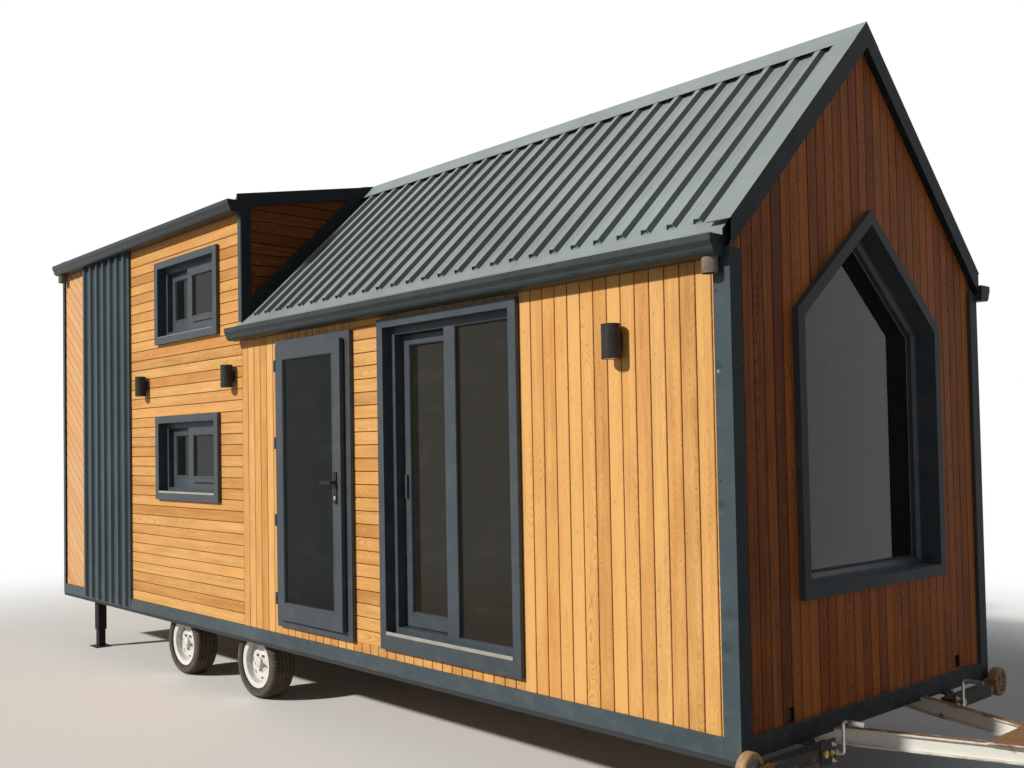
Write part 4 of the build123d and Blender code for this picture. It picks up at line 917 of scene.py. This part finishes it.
def gable_boards():
    front, rear, cheeks = Solids(), Solids(), Solids()
    holes = [[(z, y) for y, z in gable_window(0)]]
    for y, z in VENTS:
        holes.append(rect((z - VENT_HALF, z + VENT_HALF), (y - VENT_HALF, y + VENT_HALF)))
    clad(front, lambda u, v, d: (FRONT_CORE + d, v, u), gable_outline(MAIN_PITCH), holes)
    clad(rear, lambda u, v, d: (REAR_CORE - d, v, u), gable_outline(DORMER_PITCH))
    gap = math.tan(MAIN_PITCH) - math.tan(DORMER_PITCH)
    meet = (DECK_UNDER_DROP / math.cos(DORMER_PITCH) - DECK_DROP / math.cos(MAIN_PITCH)) / gap
    back = DORMER_FRONT - BOARD_THICKNESS - 0.0005
    for side in (-1, 1):
        corners = [
            (side * meet, roof_z(meet, DECK_DROP)),
            (side * CORE_FACE, roof_z(CORE_FACE, DECK_DROP)),
            (side * CORE_FACE, roof_z(CORE_FACE, DECK_UNDER_DROP, DORMER_PITCH)),
        ]
        # Darker tone on the cheeks: painted shade.
        clad(cheeks, lambda u, v, d: (back + d, u, v), corners, tone=CHEEK_SHADE_TONE)
    # The gable and cheek boards take the darker stain: painted shade.
    for name, solids in (("front_gable", front), ("rear_gable", rear), ("dormer_cheek", cheeks)):
        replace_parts(make(f"{name}_boards", solids, gable_shade_wood), "gable_cladding")


side_boards()
gable_boards()


# Roof and sheet details

RIB_PITCH = 0.1415
MAIN_RIB = BODY_FRONT - 0.181
DORMER_RIB = DORMER_FRONT - 0.120
RIB_COUNTS = (27, 23)
RIB_SECTION = ((-0.0275, 0), (-0.0140, 0.0262), (0.0140, 0.0262), (0.0275, 0))
SWAGE_HALF = 0.0065
SWAGE_RISE = 0.0018
SWAGE_OFFSETS = (-0.016, 0.016)
SHEET_START = 0.02
SHEET_END = HALF_WIDTH - 0.052
SCREW_ROWS = (0.42, 0.82)
SCREW_OFFSET = 0.042
ROOF_SCREW = 0.0038


def roof_runs():
    """Side, pitch, first rib and number of ribs of each roof slope."""
    for side in (-1, 1):
        yield side, MAIN_PITCH, MAIN_RIB, RIB_COUNTS[0]
        yield side, DORMER_PITCH, DORMER_RIB, RIB_COUNTS[1]


def on_slope(x, side, y, drop, pitch):
    return (x, side * y, roof_z(y, drop, pitch))


def along_slope(solids, section, middle, side, pitch, reaches):
    """A bar on the pans, between two distances from the ridge, from an (across, rise) section."""
    solids.loft(*[
        [on_slope(middle + across, side, y, PAN_DROP - rise, pitch) for across, rise in section]
        for y in reaches
    ])


def roof_swages():
    """Two low stiffening beads along every pan."""
    beads = Solids()
    half = SWAGE_HALF
    section = ((-half, 0), (-half * 0.4, SWAGE_RISE), (half * 0.4, SWAGE_RISE), (half, 0))
    for side, pitch, first, count in roof_runs():
        for number in range(count - 1):
            for offset in SWAGE_OFFSETS:
                middle = first - RIB_PITCH * (number + 0.5) + offset
                along_slope(beads, section, middle, side, pitch, (SHEET_START, SHEET_END))
    make("roof_swages", beads, roof_lit_coat)


def roof_screws():
    """Rows of screws beside the ribs, down each slope."""
    screws = Solids()
    for side, pitch, first, count in roof_runs():
        normal = (0, side * math.sin(pitch), math.cos(pitch))
        for y in SCREW_ROWS:
            for number in range(count - 1):
                x = first - RIB_PITCH * number - SCREW_OFFSET
                screw(screws, on_slope(x, side, y, PAN_DROP, pitch), normal, ROOF_SCREW)
    make("roof_screws", screws, roof_lit_coat)


LAP = 0.0012
CAP_LAP = (0.0024, 0.1215)
CAP_TOP = -0.003
LAP_EDGE = HALF_WIDTH + 0.0145
MAIN_LAP_START = DORMER_FRONT + 0.017
SEAM_AT_RIDGE = 1.29
SEAM_AT_EAVE = 1.76
DORMER_SEAM = -2.62


def lap_seams():
    """The upper sheet of each lapped length: ridge cap and eave flashings."""
    laps = Solids()
    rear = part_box("roof_sheeting")[0].x
    for side in (-1, 1):
        for (inner, outer), drop, pitch, reaches in (
            (CAP_LAP, CAP_TOP, MAIN_PITCH, (MAIN_LAP_START, SEAM_AT_RIDGE)),
            (CAP_LAP, CAP_TOP, DORMER_PITCH, (rear, DORMER_SEAM)),
            ((1.2025, LAP_EDGE), PAN_DROP, MAIN_PITCH, (MAIN_LAP_START + 0.001, SEAM_AT_EAVE)),
            ((1.2015, LAP_EDGE), PAN_DROP, DORMER_PITCH, (rear + 0.004, DORMER_SEAM)),
        ):
            section = [(inner, drop), (outer, drop), (outer, drop - LAP), (inner, drop - LAP)]
            laps.loft(*[[on_slope(x, side, y, down, pitch) for y, down in section] for x in reaches])
    make("lap_sheets", laps, roof_lit_coat)


def rib_ends():
    """Closers in the lower ends of the ribs."""
    closers = Solids()
    reaches = (SHEET_END - 0.016, SHEET_END + 0.0015)
    for side, pitch, first, count in roof_runs():
        for number in range(count):
            along_slope(closers, RIB_SECTION, first - RIB_PITCH * number, side, pitch, reaches)
    make("rib_end_closers", closers, roof_lit_coat)


TRIM_SCREW = 0.004
PANEL_SCREW = 0.0045
TRIM_ROWS = (
    ((0.62, 1.13, 1.64, 2.15, 2.46), BODY_FRONT, -0.071, 1),
    ((0.62, 1.32, 2.02, 2.72, 3.42), BODY_REAR, 0.030, -1),
)
PANEL_HEIGHTS = (0.60, 1.55, 2.30, 2.95, 3.45)


def trim_screws():
    """Screws along the corner trims and the ribbed panels."""
    screws = Solids()
    middle = (PANEL[0] + PANEL[1]) / 2
    for side in (-1, 1):
        for heights, end, inset, facing in TRIM_ROWS:
            for z in heights:
                screw(screws, (end + inset, side * HALF_WIDTH, z), (0, side, 0), TRIM_SCREW)
                screw(screws, (end, side * (HALF_WIDTH - 0.076), z), (facing, 0, 0), TRIM_SCREW)
        for z in PANEL_HEIGHTS:
            for number in range(-3, 3):
                x = middle + RIB_PITCH * (number + 0.5) + 0.022
                screw(screws, (x, side * (HALF_WIDTH + 0.004), z), (0, side, 0), PANEL_SCREW)
    make("trim_screws", screws, FINISHES["slate_sheet"])


roof_swages()
roof_screws()
lap_seams()
rib_ends()
trim_screws()


# Glazing: beads, gaskets, mouldings, and a pale strip of painted highlight on the gable window

BEAD = 0.005
BEAD_SUNK = 0.004
SEAL = BEAD + 0.003
FRONT_GASKET = ((BEAD, 0), (BEAD, -0.003), (SEAL, -0.0008), (SEAL, 0))
BACK_GASKET = ((0, 0), (0, 0.004), (SEAL, 0.0015), (SEAL, 0))
MOULDING = ((-0.014, 0), (-0.011, -0.0022), (-0.003, -0.0022), (-0.0005, 0))
ENTRANCE_FACE = -1.3
SASH_FACE = -1.138
FIXED_PANE = (rectangle((1.2525, 1.6865), (0.728, 2.486)), -1.198, (-1.178, -1.172))
SMALL_PANES = (
    ((-1.8035, -1.4175), (-1.189, -1.152)),
    ((-2.1635, -1.8835), (-1.148, -1.118)),
)
SMALL_PANE_UP = (0.192, 0.518)
HALF_PANE = 0.003
SLOT_UP = 0.134
SLOT_HEIGHT = 0.014
SILL_EDGE = (-1.2634, -1.2560)
SILL_CHAMFER = 0.0008
PATIO_STRIP = (0.6848, 0.6848 + 0.020)
SILL_STRIP_UP = 0.0550
SILL_STRIPS = (0.016, 0.005)


def on_side(u, v, d):
    """Place on the door side: u along the house, v height, d the y value."""
    return (u, d, v)


def on_gable(u, v, d):
    """Place on the front gable: u across the house, v height, d the x value."""
    return (d, u, v)


def whole_pane(corners, face):
    low, high = corners
    return rectangle((low.x, high.x), (low.z, high.z)), face, (low.y, high.y)


def small_panes():
    for sill in WINDOW_SILLS:
        for across, (face, back) in SMALL_PANES:
            up = (sill + SMALL_PANE_UP[0], sill + SMALL_PANE_UP[1])
            middle = (face + back) / 2
            yield rectangle(across, up), face, (middle - HALF_PANE, middle + HALF_PANE)


# Body, name and panes of the door side. A pane is its outline, its frame's face and its glass's depths.
GLAZED = (
    ("entrance_door", "entrance", [whole_pane(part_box("entrance_glass"), ENTRANCE_FACE)]),
    ("sliding_sash", "sash", [whole_pane(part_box("patio_sash_glass"), SASH_FACE)]),
    ("house", "window", [FIXED_PANE, *small_panes()]),
)


def frame_piece(name, solids, finish=FINISHES["dark_frames"], body="house"):
    make(name, solids, finish, body)


def glazing():
    """A bead and its gasket round each pane, and a gasket behind it. Depths grow inwards."""
    for body, name, panes in GLAZED:
        beads, gaskets = Solids(), Solids()
        for outline, face, (front, back) in panes:
            lip = face + BEAD_SUNK
            bead = [(0, front), (0, lip), (BEAD * 0.6, lip), (BEAD, front - 0.003), (BEAD, front)]
            hoop(beads, on_side, outline, bead)
            hoop(gaskets, on_side, outline, FRONT_GASKET, front)
            hoop(gaskets, on_side, outline, BACK_GASKET, back)
        frame_piece(f"{name}_glazing_beads", beads, body=body)
        frame_piece(f"{name}_glazing_gaskets", gaskets, black_gasket, body)
    # The drain slots are thin black strips on the frame's face: painted shade for the open slots.
    slots = Solids()
    (low, high), (face, _) = SMALL_PANES[0]
    for sill in WINDOW_SILLS:
        z = sill + SLOT_UP
        box(slots, (low + 0.010, high - 0.012), (face - 0.0012, face), (z, z + SLOT_HEIGHT))
    frame_piece("window_drain_slots", slots, black_gasket)


def mouldings():
    """Low bevelled strip round the glass of each moving frame, and the pale edges of the sills."""
    for body, name, panes in GLAZED:
        solids = Solids()
        for pane in panes:
            if pane is not FIXED_PANE:
                outline, face, _ = pane
                hoop(solids, on_side, outline, MOULDING, face)
        frame_piece(f"{name}_moulding", solids, body=body)
    edges = Solids()
    box(edges, (PATIO[0] + 0.056, PATIO[1] - 0.056), SILL_EDGE, PATIO_STRIP, SILL_CHAMFER)
    for sill, rise in zip(WINDOW_SILLS, SILL_STRIPS):
        foot = sill + SILL_STRIP_UP
        box(edges, (WINDOWS[0] + 0.058, WINDOWS[1] - 0.058), SILL_EDGE, (foot, foot + rise), SILL_CHAMFER)
    frame_piece("sill_edges", edges, pale_sill)


GABLE_GLASS = 2.9135
GABLE_BEAD = ((0.058, 0.015), (0.058, 0.034), (0.074, 0.034), (0.094, 0.019), (0.094, 0.015))
GABLE_GASKET = ((0.103, 0), (0.103, 0.005), (0.106, 0.001), (0.106, 0))
LIT_EDGE_SECTION = ((0.106, 0), (0.111, 0), (0.111, 0.0004), (0.106, 0.0004))


def gable_glazing():
    """Bead and gasket of the gable window, and a pale strip along its right slope and right jamb: a painted
    highlight on the lit edges.
    """
    bead, gasket, lit_edge = Solids(), Solids(), Solids()
    hoop(bead, on_gable, gable_window, GABLE_BEAD, GABLE_GLASS)
    hoop(gasket, on_gable, gable_window, GABLE_GASKET, GABLE_GLASS)
    # Only the right slope and right jamb get the pale strip: painted highlight where light catches the edge
    # of the glass.
    for ends in ((2, 3), (3, 4)):
        lit_edge.loft(*[
            [on_gable(*gable_window(inset)[corner], GABLE_GLASS + up) for inset, up in LIT_EDGE_SECTION]
            for corner in ends
        ])
    frame_piece("gable_window_bead", bead)
    frame_piece("gable_window_gasket", gasket, black_gasket)
    frame_piece("gable_window_lit_edge", lit_edge, lit_edge_strip)


glazing()
mouldings()
gable_glazing()


# Door furniture, lights and vents

LOCK_HEIGHT = 1.493
LEVER_HEIGHT = 1.590
PLATE_SCREW_HEIGHTS = (1.469, 1.645)
HANDLE_X = 0.2445
PLATE_FACE = -1.308
LOCK_RING = ((0, 0.0105), (0.003, 0.0105), (0.004, 0.0095), (0.004, 0.0088), (0.0015, 0.0085))
LOCK_CORE = ((0, 0.0078), (0.0034, 0.0078), (0.0038, 0.0070))
COLLAR = ((0.0, 0.0145), (0.004, 0.0145), (0.006, 0.0125), (0.006, 0.0096), (0.0, 0.0096))
PLATE_SCREW = ((0, 0.0042), (0.0008, 0.0042), (0.0016, 0.003))


def door_furniture():
    """Key cylinder and the round collar of the lever on the handle plate."""
    ring, core, slot, collar = Solids(), Solids(), Solids(), Solids()
    x, y, z = HANDLE_X, PLATE_FACE, LOCK_HEIGHT
    out = (0, -1, 0)
    turned(ring, (x, y, z), out, LOCK_RING, 24)
    turned(core, (x, y, z), out, LOCK_CORE, 24)
    box(core, (x - 0.0035, x + 0.0035), (y - 0.0030, y), (z - 0.0165, z - 0.006))
    # The keyway is a black bar on the cylinder's face: painted shade for the slot's hollow.
    box(slot, (x - 0.0009, x + 0.0009), (y - 0.0042, y - 0.0030), (z - 0.0050, z + 0.0050))
    turned(collar, (x, y, LEVER_HEIGHT), out, COLLAR, 24, ring=True)
    pieces = [
        ("key_cylinder_ring", ring, silver_zinc, 35),
        ("key_cylinder_core", core, silver_zinc, 35),
        ("key_slot", slot, black_gasket, None),
        ("lever_collar", collar, FINISHES["door_handles"], 35),
    ]
    for height in PLATE_SCREW_HEIGHTS:
        bolt = Solids()
        turned(bolt, (x, y, height), out, PLATE_SCREW)
        pieces.append((f"plate_screw_{int(height * 1000)}", bolt, FINISHES["door_handles"], 35))
    for name, solids, finish, smooth in pieces:
        make(name, solids, finish, "entrance_door", smooth)


LIGHTS = ((-2.5355, 2.357), (-1.1105, 2.352), (2.4235, 2.285))
LIGHT_Y = -1.289
MOUTH_UP = 0.165 / 2 - 0.006
LENS = ((0, 0.0355), (0.0025, 0.0355), (0.0035, 0.034), (0.0042, 0.022), (0.0044, 0.008))
LIGHT_RING = ((0, 0.0405), (0.004, 0.0405), (0.004, 0.0365), (0, 0.0365))


def light_details():
    """Frosted lens in each mouth of the wall lights, and a thin ring round it."""
    lenses, rings = Solids(), Solids()
    for x, z in LIGHTS:
        for end in (-1, 1):
            mouth = (x, LIGHT_Y, z + end * MOUTH_UP)
            turned(lenses, mouth, (0, 0, end), LENS, 28)
            turned(rings, mouth, (0, 0, end), LIGHT_RING, 28, ring=True)
    make("light_lenses", lenses, light_lens, smooth=40)
    make("light_rings", rings, silver_zinc, smooth=35)


SLAT_PITCH = 0.0155
SLAT_SECTION = ((0.002, 0), (0.010, -0.006), (0.0115, -0.0045), (0.0035, 0.0015))


def vent_grilles():
    """Dark slats set back in the two vent holes."""
    slats = Solids()
    half = VENT_HALF - 0.001
    for y, z in VENTS:
        for number in range(4):
            low = z - VENT_HALF + 0.008 + number * SLAT_PITCH
            slats.loft(*[
                [(FRONT_CORE + out, at, low + up) for out, up in SLAT_SECTION] for at in (y - half, y + half)
            ])
    frame_piece("vent_slats", slats, black_gasket)


door_furniture()
light_details()
vent_grilles()


# Running gear and jacks

WHEEL_FACE = 1.165
TYRE_RADIUS = 0.255
TYRE_WIDTH = 0.195
TREAD_BLOCKS = 56
BLOCK_STATIONS = ((0.0, True), (0.13, True), (0.16, False), (0.97, False))
TYRE_WALL = (
    (0.0286, 0.1505), (0.0250, 0.1826), (0.0190, 0.1836), (0.0150, 0.1868), (0.0110, 0.1880),
    (0.0075, 0.1872), (0.0062, 0.1905), (0.0030, 0.2000), (0.0010, 0.2100), (0.0003, 0.2180),
    (0.0012, 0.2262), (0.0006, 0.2275), (0.0028, 0.2340), (0.0060, 0.2400), (0.0095, 0.2440),
    (0.0150, 0.2490), (0.0220, 0.2530), (0.0300, 0.2546),
)
GROOVES = (0.050, 0.080, 0.115, 0.145)
GROOVE_SECTION = ((-0.0048, 0), (-0.0036, 0.0066), (0.0036, 0.0066), (0.0048, 0))
SHOULDER_WIDTH = 0.034
SHOULDER_FROM = 0.238
SHOULDER_NOTCH = 0.0052
TREAD_NOTCH = 0.0016
VALVE = ((0, 0.006), (0.012, 0.0055), (0.014, 0.0036), (0.032, 0.0036), (0.034, 0.003))
VALVE_PLACE = (0.131, 0.072, 0.02)


def tyre_section(notched):
    """Closed section of the tyre as (distance in from the outer face, radius), cut lower at a notch."""
    tread = [(groove + t, TYRE_RADIUS - deep) for groove in GROOVES for t, deep in GROOVE_SECTION]
    back = [(TYRE_WIDTH - t, r) for t, r in reversed(TYRE_WALL)]
    section = []
    for t, r in (*TYRE_WALL, *tread, *back):
        shoulder = min(t, TYRE_WIDTH - t) < SHOULDER_WIDTH
        if notched and shoulder and r > SHOULDER_FROM:
            r -= SHOULDER_NOTCH
        elif notched and r > TYRE_RADIUS - 0.0005:
            r -= TREAD_NOTCH
        section.append((t, r))
    return section


def tyre(wheel, side):
    """Blocks, grooves and sipes round one tyre, and the valve of its wheel."""
    centre = node_centre(f"{wheel}_rim")
    solids, valve = Solids(), Solids()
    loops = []
    for block in range(TREAD_BLOCKS):
        for share, notched in BLOCK_STATIONS:
            angle = math.tau * (block + share) / TREAD_BLOCKS
            loops.append([
                (centre.x + r * math.cos(angle), side * (WHEEL_FACE - t), centre.z + r * math.sin(angle))
                for t, r in tyre_section(notched)
            ])
    solids.loft(*loops, ring=True)
    rubber = tyre_rubber(f"{wheel}_rubber", (centre.x, centre.z), TYRE_RADIUS)
    piece = make(f"{wheel}_treaded_tyre", solids, rubber, f"{wheel}_wheel", 32)
    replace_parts(piece, f"{wheel}_tyre")
    forward, inward, up = VALVE_PLACE
    foot = (centre.x + forward, side * (WHEEL_FACE - inward), centre.z + up)
    turned(valve, foot, (0, side, 0), VALVE, 14)
    make(f"{wheel}_valve", valve, black_gasket, f"{wheel}_wheel", 40)


PLATE_FRONT = 3.1105
DECK_END = 1.2
DECK_FRONT = 3.01
GRIP_START = 3.175
INNER_TUBE_START = 1.102
WASHER = (((0, 1.45), (0.0016, 1.45), (0.0018, 1.3)), 20)
HEXAGON = (((0.0016, 1, 6), (0.0085, 1, 6), (0.0095, 0.85, 6)), 12)
STUD = (((0.009, 0.55), (0.015, 0.55), (0.016, 0.45)), 16)
BOLT = (0.655, 0.400, 0.0085)
NUTS = ((0.647, 0.436, 0.007), (0.647, 0.364, 0.007))


def screwed_on(solids, place, size, more=()):
    """A washer against a jack plate and the hexagon on it, and the thread's end where there is more."""
    for profile, count in (WASHER, HEXAGON, *more):
        turned(solids, place, (1, 0, 0), [(up, reach * size, *sides) for up, reach, *sides in profile], count)


def jack_details():
    """Bolts and nuts on the jack plates, and the finishes of the jacks' own parts."""
    for side, name in SIDES:
        yellow, silver = Solids(), Solids()
        y, z, size = BOLT
        screwed_on(yellow, (PLATE_FRONT, side * y, z), size)
        for y, z, size in NUTS:
            screwed_on(silver, (PLATE_FRONT, side * y, z), size, (STUD,))
        make(f"{name}_jack_bolts", yellow, yellow_zinc, f"{name}_jack")
        make(f"{name}_jack_nuts", silver, silver_zinc, f"{name}_jack")
        repaint(f"{name}_corner_jack", bare_arm, lambda c, n: abs(c.y) > INNER_TUBE_START)
        repaint(f"{name}_jack_crank", crank_grip, lambda c, n: c.x > GRIP_START)
    repaint("jack_brackets", yellow_zinc, lambda c, n: c.x > PLATE_FRONT)
    # The deck's ends and top take the near-black verge coat: painted shade where the deck shows in the gap at
    # the front corner.
    repaint("roof_decks", verge_shade_coat, lambda c, n: abs(c.y) > DECK_END or c.x > DECK_FRONT or n.z > UPWARD)


for wheel_side, side_name in SIDES:
    tyre(f"{side_name}_front", wheel_side)
    tyre(f"{side_name}_rear", wheel_side)
jack_details()


# Floor, background and light

FLOOR_REACH = 60
FLOOR_Z = -0.001
WHITE_FROM = 4.5
WHITE_BY = 10.0
FLOOR_MIDDLE = (-0.3, 0.0)
FLOOR_SEEN = (0.92, 0.91, 0.89)
FLOOR_BOUNCE = (0.34, 0.31, 0.27)
WHITE = (1, 1, 1)
SKY = (0.82, 0.90, 1.0)
SKY_LEVEL = 0.14
KEY_FROM = (-0.238, -0.829, 0.507)
KEY_SPREAD = 3.0
KEY_LEVEL = 3.35
KEY_COLOUR = (1.0, 0.955, 0.88)


def seen_by(tree, *rays):
    """1 for the named kinds of ray, and 0 for the light that falls on the object."""
    first, *others = [field("LightPath", f"Is {ray} Ray", tree=tree) for ray in rays]
    for other in others:
        first = first.calc("MAXIMUM", other)
    return first


def blend_out(tree, share, first, second, output):
    """One shader blended with another by share, as the whole look of a material or the world."""
    put(field("MixShader", i0=share, i1=first, i2=second), tree.nodes[output].inputs["Surface"])


def floor():
    mesh = bpy.data.meshes.new("studio_floor")
    corners = rect((-FLOOR_REACH, FLOOR_REACH), (-FLOOR_REACH, FLOOR_REACH))
    mesh.from_pydata([(x, y, FLOOR_Z) for x, y in corners], [], [(0, 1, 2, 3)])
    ground = put_in("studio_floor", mesh)
    made, place = placed("studio_floor", 0.9)
    tree = made.node_tree
    away = distance_to(*parts_of(place)[:2], FLOOR_MIDDLE)
    seen = seen_by(tree, "Camera", "Glossy")
    surface(made, Base_Color=mix(seen, FLOOR_BOUNCE, FLOOR_SEEN))
    white = field("Emission", tree=tree, Color=WHITE, Strength=1.0)
    matt = Field(tree.nodes["Principled BSDF"].outputs[0])
    blend_out(tree, step(away, WHITE_FROM, WHITE_BY) * seen, matt, white, "Material Output")
    mesh.materials.append(made)


def sky():
    world = bpy.data.worlds.new("studio")
    bpy.context.scene.world = world
    world.use_nodes = True
    tree = world.node_tree
    lighting = tree.nodes["Background"]
    put(SKY, lighting.inputs["Color"])
    put(SKY_LEVEL, lighting.inputs["Strength"])
    white = field("Background", tree=tree, Color=WHITE, Strength=1.0)
    seen = seen_by(tree, "Camera", "Transmission", "Glossy")
    blend_out(tree, seen, Field(lighting.outputs[0]), white, "World Output")


def key_light():
    lamp = bpy.data.lights.new("key", "SUN")
    lamp.angle = math.radians(KEY_SPREAD)
    lamp.energy = KEY_LEVEL
    lamp.color = KEY_COLOUR
    put_in("key", lamp).rotation_euler = Vector(KEY_FROM).to_track_quat("Z", "Y").to_euler()


floor()
sky()
key_light()
bpy.context.scene.view_settings.view_transform = "Standard"
